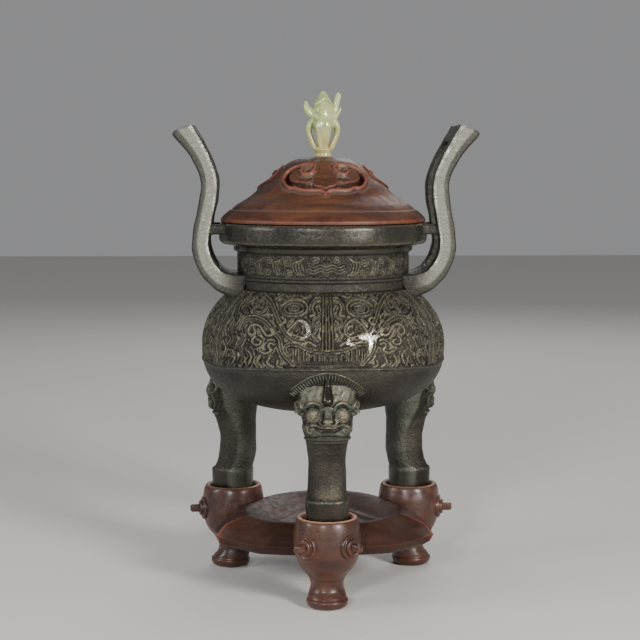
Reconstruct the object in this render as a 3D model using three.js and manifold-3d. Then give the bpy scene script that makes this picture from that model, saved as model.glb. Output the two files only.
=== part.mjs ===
// Bronze tripod censer in the archaic manner: a three-legged vessel with two loop handles, a carved
// wood cover with a jade finial, and a carved wood stand with a cup for each leg.
// Millimetres, +Z up, front along -Y.
import * as THREE from 'three';
import { mergeVertices } from 'three/addons/utils/BufferGeometryUtils.js';
import Module from 'manifold-3d';

const wasm = await Module();
wasm.setup();

const { Vector2, Vector3 } = THREE;
const TAU = 2 * Math.PI;
const radians = THREE.MathUtils.degToRad;

// Layout shared by the vessel and the stand
const LEG_COUNT = 3;
const LEG_CIRCLE_R = 74;
const REST_GAP = 0.3;

// Bowl
const BELLY_R = 84.7;
const BELLY_Z = 168;
const BOWL_DROP = 46;
const BOWL_SQUARENESS = 2.7;
const SHOULDER_RISE = 57;
const SHOULDER_Z = 203.5;
const LOWER_LINE_Z = 156;
const UPPER_LINE_Z = 200.5;
const LINE_HEIGHT = 2;
const LINE_RISE = 0.9;
const WALL = 4.5;
const BOWL_SEGMENTS = 30;
const HOLLOW_SEGMENTS = 18;

// Neck and rim
const NECK_R = 59.5;
const GROOVE_R = 60;
const COLLAR_R = 61.5;
const COLLAR_Z = 214;
const NECK_TOP_Z = 231.5;
const RIM_R = 72.3;
const RIM_TOP_Z = 252;
const RIM_BAND_HEIGHT = 9;
const RIM_ROUNDING = 1.2;
const MOUTH_R = 58;

// Handles: reach from the axis and height along the outer and the inner face
const HANDLE_OUTER = [
  [60, 195], [74.5, 206.5], [84.3, 217.5], [89.3, 230], [90, 240], [87.7, 255],
  [84.9, 270], [84.6, 280], [88.3, 290.5], [95, 301], [105.5, 313],
];
const HANDLE_INNER = [
  [57, 212.5], [64, 213.6], [69.8, 218], [74.5, 224.3], [77.6, 232], [78.5, 240], [76.4, 253],
  [73.5, 269], [73.3, 281.4], [77.9, 295.4], [84.5, 308.1], [91, 319.5],
];
const HANDLE_WIDTH = 56;
const HANDLE_LEG = 12;
const HANDLE_BAR = 14;
const HANDLE_CORNER_R = 6;
const HANDLE_BEVEL = 1.6;
const HANDLE_STEPS = 10;
const STRUT = { width: 7, height: 7, z: 247 };

// Bronze legs: height, centre's reach, half depth and half width of each section
const LEG_SECTIONS = [
  [44, 74.1, 13.2, 13.2],
  [61, 74.3, 13.8, 14],
  [72, 74.4, 14, 14.4],
  [73.5, 73.6, 13, 13.4],
  [86, 69.6, 12.2, 12.7],
  [97, 69.6, 12, 12.4],
  [108, 71.4, 13.6, 13.8],
  [118, 72.6, 15.6, 16],
  [130, 71.8, 16.8, 17.4],
  [141, 67.5, 16.6, 20],
  [151, 62, 18.4, 23],
];
const LEG_SIDES = 8;
const LEG_SQUARENESS = 2.6;

// Animal mask at the head of each leg
const MASK = {
  hornBaseZ: 137, hornTipZ: 155.5, hornHalfWidth: 4, hornRise: 4.4,
  eyeX: 9.4, eyeZ: 128.6, eyeR: 5,
  earX: 17.6, earZ: 133.5, earR: 5.2,
  noseZ: 124.6, noseR: 4.2,
  fringeHalfWidth: 23.5, fringeTopZ: 153.5, fringeDrop: 12.5, fringeBand: 5,
  lipHalfWidth: 11.5, lipZ: 119.4,
  barHalfWidth: 12.6, barZ: [114.2, 111], barHeight: 1.7,
};

// Relief on the belly: widths across the panel are measured along the belly's widest circle
const RELIEF_RISE = 1.3;
const RELIEF_SINK = 1.4;
const PANEL_HALF_WIDTH = (TAU / LEG_COUNT / 2) * BELLY_R;
const FLANGE = { halfWidth: 4.2, fromZ: 171, toZ: 201 };
const PANEL_BORDER_WIDTH = 5;
const EYE = { across: 19, z: 185, halfWidth: 8.2, halfHeight: 6.2 };
const SWIRL = { across: 26, z: 198, halfWidth: 10.5, halfHeight: 4.2 };
const BROW = [[56, 201], [45, 201.5], [39, 195], [33, 187], [27, 179.5], [20, 176]];
const SMILE = [[27, 170.5], [28, 174.5], [22, 176], [15, 173], [7, 170.6], [0, 170]];
const OUTER_CURVE = [
  [64, 184], [64, 189], [56, 191], [47, 189], [39, 183.5], [33, 177], [30, 168], [24, 162.5],
];
const SCROLL = { across: 50, z: 179, halfWidth: 6.5, halfHeight: 6 };

// Lid: radius and height along its outside, from the lower edge to the top disc
const LID_PROFILE = [
  [71, 0], [71.2, 1.8], [64.8, 8], [63.4, 9.2], [54.6, 15], [47.5, 20.2],
  [36, 31], [24.5, 40.3], [18, 43.1], [14.6, 43.4],
];
const LID_SEAT_Z = RIM_TOP_Z + REST_GAP;
const LID_DISC = { radius: 13.3, height: 44.2 };
const LID_FLANGE = { outerR: 56.6, innerR: 50.5, depth: 7 };
const LID_CEILING = [[50.5, 6], [44, 13], [32, 26], [18, 36], [0, 38.5]];
const LID_SEGMENTS = 30;

// Ruyi heads carved on the lid, in plan: across from the head's middle line and out from the axis
const RUYI_BEAD = [
  [14, 28.2], [13, 31], [9.6, 31.8], [6.8, 29.4], [8.6, 25.2], [15, 22.4], [23, 20.8], [27.2, 24.6],
  [26.6, 33], [21.6, 38.8], [14.5, 43.2], [5, 45.2], [0, 48.4],
];
const RUYI_CHANNEL = [[14.5, 26.5], [22, 24.4], [24.8, 29], [20.4, 35.6], [13, 40.2], [6, 42.6], [0, 46]];
const RUYI = { beadWidth: 2.4, beadRise: 1.6, channelWidth: 4, channelDepth: 3.2 };

// Finial: heights above the lid's disc
const FINIAL = {
  baseR: 6.2, baseHeight: 4.6, collarR: 7.6,
  budZ: 31.5, budHalfHeight: 13.5, budHalfWidth: 7, stemR: 1.9,
  bulgeR: 11.2, bulgeZ: 19.5, stemCount: 4, spineR: 2.2, leafThickness: 3.8,
};
// Outline of the bud as shares of its half width and half height
const BUD_OUTLINE = [[0, -1], [0.5, -0.86], [0.9, -0.5], [1, -0.1], [0.78, 0.4], [0.34, 0.8], [0, 1]];
const LEAVES = [
  { azimuth: 184, rootR: 5, rootZ: 23, tipR: 13, tipZ: 38.5, halfWidth: 4 },
  { azimuth: 4, rootR: 5, rootZ: 25, tipR: 12.2, tipZ: 43.6, halfWidth: 3.4 },
  { azimuth: 100, rootR: 4.5, rootZ: 23, tipR: 9.5, tipZ: 37, halfWidth: 4 },
];

// Stand: a cup's outside and socket as radius and height from the floor, and the platform between cups
const CUP_PROFILE = [
  [0, 0], [10.8, 0], [13.8, 3], [13.6, 7.4], [10.9, 13.4], [12.4, 19.6], [17.2, 27],
  [20.6, 35], [21.7, 45], [20.2, 59.4], [18.9, 60.6], [16.8, 60.2],
];
const CUP_MAX_R = Math.max(...CUP_PROFILE.map(([radius]) => radius));
const SOCKET_R = 16.4;
const SOCKET_FLOOR_Z = 44 - REST_GAP;
const CUP_SEGMENTS = 12;
const BOSS = { turn: 42, z: 43.4, steps: [[8.3, 23.6], [5.4, 26.8], [3.3, 30.4]], sides: 8 };
const PLATFORM = {
  lobeR: 77, cuspR: 85.5, cuspTurn: 4.5, waistFrom: 20, waistDrop: 0.36,
  crestShare: 0.74, crestZ: 50.5, dishZ: 41, edgeZ: 37.4, cuspZ: 40, ridgeRise: 2.2, thickness: 8,
};
const PLATFORM_TURNS = [0, 4, 10, 20, 32, 44, 60];

// Tidying of joined meshes
const TRIM_STEPS = [0.02, 0.06, 0.12, 0.25];
const MAX_FACE_TURN = 0.3;
const MIN_FACE_AREA = 0.02;
const WELD_DISTANCE = 1e-4;

// Helpers

/** A closed three.js geometry as a solid that can be joined and cut. */
function solid(geometry) {
  const plain = geometry.clone();
  plain.deleteAttribute('normal');
  plain.deleteAttribute('uv');
  const merged = mergeVertices(plain, WELD_DISTANCE);
  const { position } = merged.attributes;
  const corner = [new Vector3(), new Vector3(), new Vector3()];
  const triangles = [];
  let volume = 0;
  for (let i = 0; i < merged.index.count; i += 3) {
    const triangle = [0, 1, 2].map((k) => merged.index.getX(i + k));
    if (new Set(triangle).size < 3) continue;
    triangle.forEach((vertex, k) => corner[k].fromBufferAttribute(position, vertex));
    volume += corner[0].dot(corner[1].cross(corner[2]));
    triangles.push(triangle);
  }
  if (volume < 0) triangles.forEach((triangle) => triangle.reverse());
  return new wasm.Manifold(new wasm.Mesh({
    numProp: 3,
    vertProperties: new Float32Array(position.array),
    triVerts: new Uint32Array(triangles.flat()),
  }));
}

/** The union of several closed geometries. */
function join(geometries) {
  return geometries.map(solid).reduce((whole, piece) => whole.add(piece));
}

/** A closed triangle mesh whose spare vertices can be folded into their neighbours. */
class ClosedMesh {
  constructor({ vertProperties, triVerts }) {
    this.points = Array.from({ length: vertProperties.length / 3 }, (_, i) => (
      new Vector3().fromArray(vertProperties, 3 * i)
    ));
    this.faces = Array.from({ length: triVerts.length / 3 }, (_, i) => (
      [...triVerts.subarray(3 * i, 3 * i + 3)]
    ));
    this.around = this.points.map(() => new Set());
    this.planes = this.points.map(() => []);
    this.faces.forEach((face, id) => {
      const corners = face.map((vertex) => this.points[vertex]);
      const plane = new THREE.Plane().setFromCoplanarPoints(...corners);
      face.forEach((vertex) => {
        this.around[vertex].add(id);
        if (plane.normal.lengthSq() > 0.5) this.planes[vertex].push(plane);
      });
    });
  }

  /** The vertices joined to one by an edge. */
  neighbours(vertex) {
    const found = new Set([...this.around[vertex]].flatMap((id) => this.faces[id]));
    found.delete(vertex);
    return found;
  }

  /** How far a vertex's own surface would move if it were folded into a neighbour. */
  error(vertex, target) {
    const point = this.points[target];
    return Math.max(...this.planes[vertex].map((plane) => Math.abs(plane.distanceToPoint(point))), 0);
  }

  /** Whether folding a vertex into a neighbour keeps the mesh closed and no face turns over. */
  allows(vertex, target) {
    const near = this.neighbours(target);
    if ([...this.neighbours(vertex)].filter((other) => near.has(other)).length !== 2) return false;
    return [...this.around[vertex]].every((id) => {
      const face = this.faces[id];
      if (face.includes(target)) return true;
      const moved = face.map((corner) => (corner === vertex ? target : corner));
      const before = new THREE.Triangle(...face.map((corner) => this.points[corner]));
      const after = new THREE.Triangle(...moved.map((corner) => this.points[corner]));
      const turn = before.getNormal(new Vector3()).dot(after.getNormal(new Vector3()));
      return turn > MAX_FACE_TURN && after.getArea() > MIN_FACE_AREA;
    });
  }

  /** Folds a vertex into a neighbour. */
  fold(vertex, target) {
    [...this.around[vertex]].forEach((id) => {
      const face = this.faces[id];
      if (face.includes(target)) {
        face.forEach((corner) => this.around[corner].delete(id));
        this.faces[id] = null;
      } else {
        face[face.indexOf(vertex)] = target;
        this.around[target].add(id);
      }
    });
    this.planes[target].push(...this.planes[vertex]);
    this.around[vertex].clear();
  }

  /** Folds away every vertex that moves the surface by less than a tolerance. */
  trim(tolerance) {
    let folded = true;
    while (folded) {
      folded = false;
      for (let vertex = 0; vertex < this.points.length; vertex += 1) {
        const near = [...this.neighbours(vertex)];
        const choices = near.map((target) => [this.error(vertex, target), target]);
        const fits = choices.filter(([error]) => error < tolerance).sort(([a], [b]) => a - b);
        const best = fits.find(([, target]) => this.allows(vertex, target));
        if (best) {
          this.fold(vertex, best[1]);
          folded = true;
        }
      }
    }
  }

  /** The mesh as a geometry. */
  toGeometry() {
    const corners = this.faces.filter(Boolean).flat();
    const positions = corners.flatMap((vertex) => this.points[vertex].toArray());
    const loose = new THREE.BufferGeometry();
    loose.setAttribute('position', new THREE.Float32BufferAttribute(positions, 3));
    return mergeVertices(loose, WELD_DISTANCE);
  }
}

/** A named mesh of a finished solid. */
function namedMesh(name, body, material) {
  const closed = new ClosedMesh(body.getMesh());
  TRIM_STEPS.forEach((tolerance) => closed.trim(tolerance));
  const geometry = closed.toGeometry();
  geometry.computeVertexNormals();
  const mesh = new THREE.Mesh(geometry, material);
  mesh.name = name;
  return mesh;
}

/** A body of revolution about Z from a profile of [radius, height] points. */
function turned(profile, segments) {
  const points = profile.map(([radius, height]) => new Vector2(radius, height));
  return new THREE.LatheGeometry(points, segments).rotateX(Math.PI / 2);
}

/** A closed body stretched over rings of equally many points, with flat ends. */
function skin(rings) {
  const count = rings[0].length;
  const last = (rings.length - 1) * count;
  const index = [];
  for (let start = 0; start < last; start += count) {
    for (let j = 0; j < count; j += 1) {
      const next = (j + 1) % count;
      index.push(start + j, start + next, start + count + j);
      index.push(start + next, start + count + next, start + count + j);
    }
  }
  for (let j = 1; j < count - 1; j += 1) {
    index.push(0, j + 1, j, last, last + j, last + j + 1);
  }
  const geometry = new THREE.BufferGeometry();
  const numbers = rings.flat().flatMap((point) => point.toArray());
  geometry.setAttribute('position', new THREE.Float32BufferAttribute(numbers, 3));
  geometry.setIndex(index);
  return geometry;
}

/** The same geometries at every leg's azimuth, the given ones being at the front. */
function atEveryLeg(geometries) {
  const turns = Array.from({ length: LEG_COUNT }, (_, k) => (k * TAU) / LEG_COUNT);
  return turns.flatMap((turn) => geometries.map((geometry) => geometry.clone().rotateZ(turn)));
}

/** The given geometries and their mirror images across the middle plane. */
function bothSides(geometries) {
  return geometries.flatMap((geometry) => [geometry, geometry.clone().scale(-1, 1, 1)]);
}

/** A value read off a table of [key, value] rows by straight lines between them. */
function readOff(table, key) {
  const after = table.findIndex(([at]) => at >= key);
  if (after <= 0) return table.at(after)[1];
  const [[from, low], [to, high]] = [table[after - 1], table[after]];
  return low + ((high - low) * (key - from)) / (to - from);
}

/** A smooth plane path through a few points. */
function smooth(points, steps) {
  return new THREE.SplineCurve(points.map(([x, y]) => new Vector2(x, y))).getPoints(steps);
}

/** A raised bead, or a cutter, that follows a path drawn on a surface. With no flat top it is a ridge. */
function ribbon(surface, path, { width, rise, sink, top = 0 }) {
  const rings = path.map((point, i) => {
    const before = path[Math.max(i - 1, 0)];
    const after = path[Math.min(i + 1, path.length - 1)];
    const side = after.clone().sub(before).rotateAround(new Vector2(), TAU / 4).setLength(width / 2);
    const corner = (share, lift) => surface(point.x + share * side.x, point.y + share * side.y, lift);
    const crown = top > 0 ? [corner(top, rise), corner(-top, rise)] : [corner(0, rise)];
    return [corner(-1, -sink), corner(1, -sink), ...crown];
  });
  return skin(rings);
}

/** A low raised island with sloping sides, drawn on a surface. */
function island(surface, { across, z, halfWidth, halfHeight }, rise) {
  const ring = (size, lift) => Array.from({ length: 6 }, (_, i) => {
    const angle = (i * TAU) / 6;
    const sideways = size * halfWidth * Math.cos(angle);
    return surface(across + sideways, z + size * halfHeight * Math.sin(angle), lift);
  });
  return skin([ring(1.2, -RELIEF_SINK), ring(0.6, rise)]);
}

/** A rounded knob at a point, stretched by a scale along each axis. */
function knob(centre, radius, scale = [1, 1, 1]) {
  return new THREE.SphereGeometry(radius, 6, 4).scale(...scale).translate(...centre.toArray());
}

/** Moves a point of a profile along the profile's normal and turns it to an azimuth from the front. */
function liftOff(radiusAt, angle, z, lift) {
  const slope = radiusAt(z + 0.5) - radiusAt(z - 0.5);
  const length = Math.hypot(1, slope);
  const radius = radiusAt(z) + lift / length;
  return new Vector3(radius * Math.sin(angle), -radius * Math.cos(angle), z - (lift * slope) / length);
}

// Bowl

/** Radius of the bowl's outside at a height between its base and its shoulder. */
function bowlRadius(z) {
  if (z >= BELLY_Z) return BELLY_R * Math.sqrt(1 - ((z - BELLY_Z) / SHOULDER_RISE) ** 2);
  const drop = Math.min((BELLY_Z - z) / BOWL_DROP, 1);
  return BELLY_R * (1 - drop ** BOWL_SQUARENESS) ** (1 / BOWL_SQUARENESS);
}

/** Point on the bowl, across from the front line along the widest circle, raised off the surface. */
function onBowl(across, z, lift) {
  return liftOff(bowlRadius, across / BELLY_R, z, lift);
}

/** A raised line round the bowl, as profile points. */
function raisedLine(z) {
  return [[-1, 0], [0, LINE_RISE], [1, 0]].map(([share, rise]) => {
    const height = z + (share * LINE_HEIGHT) / 2;
    return [bowlRadius(height) + rise, height];
  });
}

/** Outside of the vessel without legs, handles and relief, from the base to the axis at the mouth. */
function vesselOutside() {
  const profile = [];
  const power = 2 / BOWL_SQUARENESS;
  for (const turn of [90, 66, 45, 27]) {
    const radius = BELLY_R * Math.cos(radians(turn)) ** power;
    profile.push([turn === 90 ? 0 : radius, BELLY_Z - BOWL_DROP * Math.sin(radians(turn)) ** power]);
  }
  profile.push(...raisedLine(LOWER_LINE_Z));
  profile.push(...[BELLY_Z, 181, 192].map((z) => [bowlRadius(z), z]));
  profile.push(...raisedLine(UPPER_LINE_Z));
  const bandZ = RIM_TOP_Z - RIM_BAND_HEIGHT;
  profile.push(
    [bowlRadius(SHOULDER_Z), SHOULDER_Z],
    [GROOVE_R, SHOULDER_Z + 2.5],
    [GROOVE_R, COLLAR_Z - 1],
    [COLLAR_R, COLLAR_Z],
    [NECK_R, COLLAR_Z + 2],
    [NECK_R, NECK_TOP_Z],
    [COLLAR_R + 0.5, NECK_TOP_Z + 1.5],
    [COLLAR_R + 1, NECK_TOP_Z + 5],
    [RIM_R - 1.4, bandZ - 2],
    [RIM_R, bandZ],
    [RIM_R, RIM_TOP_Z - RIM_ROUNDING],
    [RIM_R - RIM_ROUNDING, RIM_TOP_Z],
    [0, RIM_TOP_Z],
  );
  return turned(profile, BOWL_SEGMENTS);
}

/** The empty inside of the vessel, running out past the mouth. */
function vesselInside() {
  const floor = BELLY_Z - BOWL_DROP + WALL;
  const walls = [floor + 4, floor + 14, BELLY_Z, 190].map((z) => [bowlRadius(z) - WALL, z]);
  return turned([
    [0, floor], [bowlRadius(floor + 4) * 0.6, floor], ...walls,
    [NECK_R - WALL, SHOULDER_Z + 2], [NECK_R - WALL, NECK_TOP_Z + 2],
    [MOUTH_R, NECK_TOP_Z + 8], [MOUTH_R, RIM_TOP_Z + 5], [0, RIM_TOP_Z + 5],
  ], HOLLOW_SEGMENTS);
}

// Handles

/** One loop handle on the right, a bent plate with a round-cornered opening through it. */
function handle() {
  const outer = smooth(HANDLE_OUTER, HANDLE_STEPS);
  const inner = smooth(HANDLE_INNER, HANDLE_STEPS).reverse();
  const plate = new THREE.ExtrudeGeometry(new THREE.Shape([...outer, ...inner]), {
    depth: HANDLE_WIDTH - 2 * HANDLE_BEVEL,
    bevelThickness: HANDLE_BEVEL,
    bevelSize: HANDLE_BEVEL,
    bevelOffset: -HANDLE_BEVEL,
    bevelSegments: 1,
  });
  plate.translate(0, 0, HANDLE_BEVEL - HANDLE_WIDTH / 2).rotateX(Math.PI / 2);
  return solid(plate).subtract(solid(handleOpening()));
}

/** The opening of a handle, as a bar through it along X. */
function handleOpening() {
  const half = HANDLE_WIDTH / 2 - HANDLE_LEG;
  const top = HANDLE_INNER.at(-1)[1] - HANDLE_BAR;
  const r = HANDLE_CORNER_R;
  const outline = new THREE.Shape();
  outline.moveTo(-half, COLLAR_Z).lineTo(half, COLLAR_Z).lineTo(half, top - r);
  outline.absarc(half - r, top - r, r, 0, Math.PI / 2);
  outline.lineTo(r - half, top);
  outline.absarc(r - half, top - r, r, Math.PI / 2, Math.PI);
  const reach = HANDLE_OUTER.at(-1)[0];
  const bar = new THREE.ExtrudeGeometry(outline, { depth: reach, bevelEnabled: false, curveSegments: 3 });
  return bar.rotateX(Math.PI / 2).rotateZ(Math.PI / 2).translate(NECK_R + 2, 0, 0);
}

/** The short struts that hold a handle's two legs to the rim. */
function struts() {
  const across = (HANDLE_WIDTH - HANDLE_LEG) / 2;
  const from = Math.sqrt(RIM_R ** 2 - across ** 2) - 3;
  const to = readOff(HANDLE_INNER.map(([reach, z]) => [z, reach]), STRUT.z) + 2;
  return [-across, across].map((y) => {
    const bar = new THREE.BoxGeometry(to - from, STRUT.width, STRUT.height);
    return bar.translate((from + to) / 2, y, STRUT.z);
  });
}

// Legs and masks

/** A column of the leg's section table at a height: 1 is reach, 2 is half depth and 3 is half width. */
function legSize(column, z) {
  return readOff(LEG_SECTIONS.map((section) => [section[0], section[column]]), z);
}

/** Point on the front of the front leg, raised off it. */
function onLeg(x, z, lift) {
  const share = Math.min(Math.abs(x) / legSize(3, z), 1);
  const front = legSize(2, z) * (1 - share ** LEG_SQUARENESS) ** (1 / LEG_SQUARENESS);
  return new Vector3(x, -legSize(1, z) - front - lift, z);
}

/** The front leg, a bent column of rounded square section. */
function leg() {
  const power = 2 / LEG_SQUARENESS;
  const rounded = (value) => Math.sign(value) * Math.abs(value) ** power;
  return skin(LEG_SECTIONS.map(([z, reach, halfDepth, halfWidth]) => {
    return Array.from({ length: LEG_SIDES }, (_, i) => {
      const angle = ((i + 0.5) * TAU) / LEG_SIDES;
      const depth = halfDepth * rounded(Math.sin(angle));
      return new Vector3(halfWidth * rounded(Math.cos(angle)), depth - reach, z);
    });
  }));
}

/** The tear-shaped horn on the mask's brow. */
function horn() {
  const { hornBaseZ, hornTipZ, hornHalfWidth, hornRise } = MASK;
  const shares = [[-0.14, 0.35], [0, 0.9], [0.14, 1], [0.5, 0.6], [1, 0.18]];
  return skin(shares.map(([along, size]) => {
    const z = hornBaseZ + along * (hornTipZ - hornBaseZ);
    const base = Math.min(onLeg(0, Math.min(z, 150), 0).y, onBowl(0, z, 0).y) + 2;
    return Array.from({ length: 4 }, (_, i) => {
      const angle = (i * TAU) / 4;
      const y = base - 2 + size * hornRise * Math.sin(angle);
      return new Vector3(size * hornHalfWidth * Math.cos(angle), y, z);
    });
  }));
}

/** The mask's parts on the front leg: horn, fringe, ears, eyes, nose, lips and two bars below. */
function mask() {
  const fringePath = Array.from({ length: 5 }, (_, i) => {
    const share = i / 2 - 1;
    return new Vector2(share * MASK.fringeHalfWidth, MASK.fringeTopZ - MASK.fringeDrop * share ** 2);
  });
  const { lipHalfWidth, lipZ } = MASK;
  const lipPath = smooth([[0, lipZ], [lipHalfWidth * 0.6, lipZ + 1], [lipHalfWidth, lipZ + 4.6]], 2);
  const paired = bothSides([
    knob(onLeg(MASK.eyeX, MASK.eyeZ, -0.6), MASK.eyeR, [1, 0.8, 1]),
    knob(onLeg(MASK.earX * 0.94, MASK.earZ, -1), MASK.earR, [0.7, 0.8, 1]),
    ribbon(onLeg, lipPath, { width: 4.4, rise: 1.8, sink: 2 }),
  ]);
  const bars = MASK.barZ.map((z) => {
    const path = [-1, 0, 1].map((share) => new Vector2(share * MASK.barHalfWidth, z));
    return ribbon(onLeg, path, { width: MASK.barHeight, rise: 1, sink: 1.5 });
  });
  const fringe = ribbon(onBowl, fringePath, { width: MASK.fringeBand, rise: 1.2, sink: 2, top: 0.85 });
  const nose = knob(onLeg(0, MASK.noseZ, -0.4), MASK.noseR, [1.15, 0.8, 0.8]);
  return [...paired, ...bars, fringe, nose, horn()];
}

// Belly relief

/** Half of the front panel's mask in relief, on the right of its middle line. */
function halfPanel() {
  const line = { width: 4.4, rise: RELIEF_RISE, sink: RELIEF_SINK };
  return [
    island(onBowl, EYE, 1.5 * RELIEF_RISE),
    island(onBowl, SWIRL, RELIEF_RISE),
    ribbon(onBowl, smooth(BROW, 4), line),
    ribbon(onBowl, smooth(SMILE, 3), line),
    ribbon(onBowl, smooth(OUTER_CURVE, 5), line),
    island(onBowl, SCROLL, RELIEF_RISE),
  ];
}

/** The flange in the middle of the front panel. */
function flange() {
  const path = smooth([[0, FLANGE.fromZ], [0, FLANGE.toZ]], 2);
  const width = 2 * FLANGE.halfWidth;
  return ribbon(onBowl, path, { width, rise: RELIEF_RISE + 0.5, sink: RELIEF_SINK, top: 0.8 });
}

/** The plain upright border between two panels. */
function panelBorder() {
  const path = smooth([[PANEL_HALF_WIDTH, LOWER_LINE_Z], [PANEL_HALF_WIDTH, UPPER_LINE_Z]], 2);
  return ribbon(onBowl, path, { width: PANEL_BORDER_WIDTH, rise: 0.9, sink: RELIEF_SINK, top: 0.8 });
}

/** The whole bronze casting. */
function vessel() {
  const relief = atEveryLeg([...bothSides(halfPanel()), flange(), panelBorder(), leg(), ...mask()]);
  const body = join([vesselOutside(), ...relief, ...bothSides(struts())]);
  const right = new ClosedMesh(handle().getMesh()).toGeometry();
  return body.add(join(bothSides([right]))).subtract(solid(vesselInside()));
}

// Lid

const LID_HEIGHTS = [...LID_PROFILE].reverse().map(([radius, height]) => [radius, height]);

/** Point on the lid's dome in plan, out along the front line and across from it, raised off the dome. */
function onLid(across, out, lift) {
  const radius = Math.hypot(across, out);
  const slope = readOff(LID_HEIGHTS, radius + 1) - readOff(LID_HEIGHTS, radius - 1);
  const length = Math.hypot(2, slope);
  const push = (-slope * lift) / length / radius;
  const height = LID_SEAT_Z + readOff(LID_HEIGHTS, radius) + (2 * lift) / length;
  return new Vector3(across * (1 + push), -out * (1 + push), height);
}

/** The lid's turned body, with the flange that sits in the mouth and the hollow under the dome. */
function lidBody() {
  const outside = LID_PROFILE.map(([radius, height]) => [radius, LID_SEAT_Z + height]);
  const { radius: discR, height: discZ } = LID_DISC;
  const disc = [[discR, discZ - 0.9], [discR - 0.8, discZ], [0, discZ]];
  const inside = LID_CEILING.map(([radius, height]) => [radius, LID_SEAT_Z + height]);
  const profile = [
    ...inside.reverse(),
    [LID_FLANGE.innerR, LID_SEAT_Z - LID_FLANGE.depth],
    [LID_FLANGE.outerR, LID_SEAT_Z - LID_FLANGE.depth],
    [LID_FLANGE.outerR, LID_SEAT_Z],
    ...outside,
    ...disc.map(([radius, height]) => [radius, LID_SEAT_Z + height]),
  ];
  return turned(profile, LID_SEGMENTS);
}

/** The carved lid. */
function lid() {
  const channel = smooth(RUYI_CHANNEL, 4);
  const bead = smooth(RUYI_BEAD, 10);
  const cutters = bothSides([ribbon(onLid, channel, {
    width: RUYI.channelWidth, rise: 2, sink: RUYI.channelDepth, top: 1,
  })]);
  const beads = bothSides([
    ribbon(onLid, bead, { width: RUYI.beadWidth, rise: RUYI.beadRise, sink: 1.6 }),
  ]);
  return solid(lidBody()).subtract(join(atEveryLeg(cutters))).add(join(atEveryLeg(beads)));
}

// Finial

/** A leaf, flat and pointed, leaning out from the bud. */
function leaf({ azimuth, rootR, rootZ, tipR, tipZ, halfWidth }) {
  const shares = [[0, 0.3], [0.3, 1], [0.65, 0.75], [1, 0.12]];
  const rings = shares.map(([along, size]) => {
    const reach = rootR + (tipR - rootR) * along;
    const z = rootZ + (tipZ - rootZ) * along;
    return Array.from({ length: 6 }, (_, i) => {
      const angle = (i * TAU) / 6;
      const lean = (FINIAL.leafThickness / 2) * size * Math.sin(angle);
      return new Vector3(reach + lean, halfWidth * size * Math.cos(angle), z);
    });
  });
  return skin(rings).rotateZ(radians(azimuth));
}

/** A stem that springs from the base, bulges out and comes back to the bud. */
function stem(azimuth) {
  const { baseR, baseHeight, bulgeR, bulgeZ, budZ, budHalfWidth, stemR } = FINIAL;
  const path = new THREE.CatmullRomCurve3([
    new Vector3(baseR * 0.55, 0, baseHeight * 0.5),
    new Vector3(baseR + 1.6, 0, baseHeight + 5),
    new Vector3(bulgeR - stemR * 0.4, 0, bulgeZ),
    new Vector3(budHalfWidth * 0.6, 0, budZ - 5),
  ]);
  const section = new THREE.Shape();
  section.absarc(0, 0, stemR, 0, TAU);
  const tube = new THREE.ExtrudeGeometry(section, { steps: 5, extrudePath: path, curveSegments: 2 });
  return tube.rotateZ(radians(azimuth));
}

/** The jade finial: a closed bud held by bent stems, with leaves, on a short round base. */
function finial() {
  const { baseR, baseHeight, collarR, budZ, budHalfHeight, budHalfWidth, stemCount, spineR } = FINIAL;
  const base = turned([
    [0, 0], [baseR, 0], [baseR - 0.6, 1.2], [collarR, baseHeight], [collarR - 1.8, baseHeight + 1.6],
    [0, baseHeight + 2],
  ], 12);
  const bud = turned(BUD_OUTLINE.map(([radius, height]) => (
    [radius * budHalfWidth, budZ + height * budHalfHeight]
  )), 10);
  const spineTop = budZ - budHalfHeight * 0.7;
  const spine = turned([[0, baseHeight], [spineR, baseHeight], [spineR, spineTop], [0, spineTop]], 6);
  const stems = Array.from({ length: stemCount }, (_, i) => stem(4 + (i * 360) / stemCount));
  const seat = LID_SEAT_Z + LID_DISC.height + REST_GAP;
  const pieces = [base, bud, spine, ...stems, ...LEAVES.map(leaf)];
  return join(pieces.map((piece) => piece.translate(0, 0, seat)));
}

// Stand

/** Radius of the platform's edge at a turn in degrees from the nearest cusp. */
function platformEdge(turn) {
  const { lobeR, cuspR, cuspTurn, waistFrom, waistDrop } = PLATFORM;
  const waist = waistDrop * Math.max(turn - waistFrom, 0);
  return lobeR - waist + (cuspR - lobeR) * Math.exp(-turn / cuspTurn);
}

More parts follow.
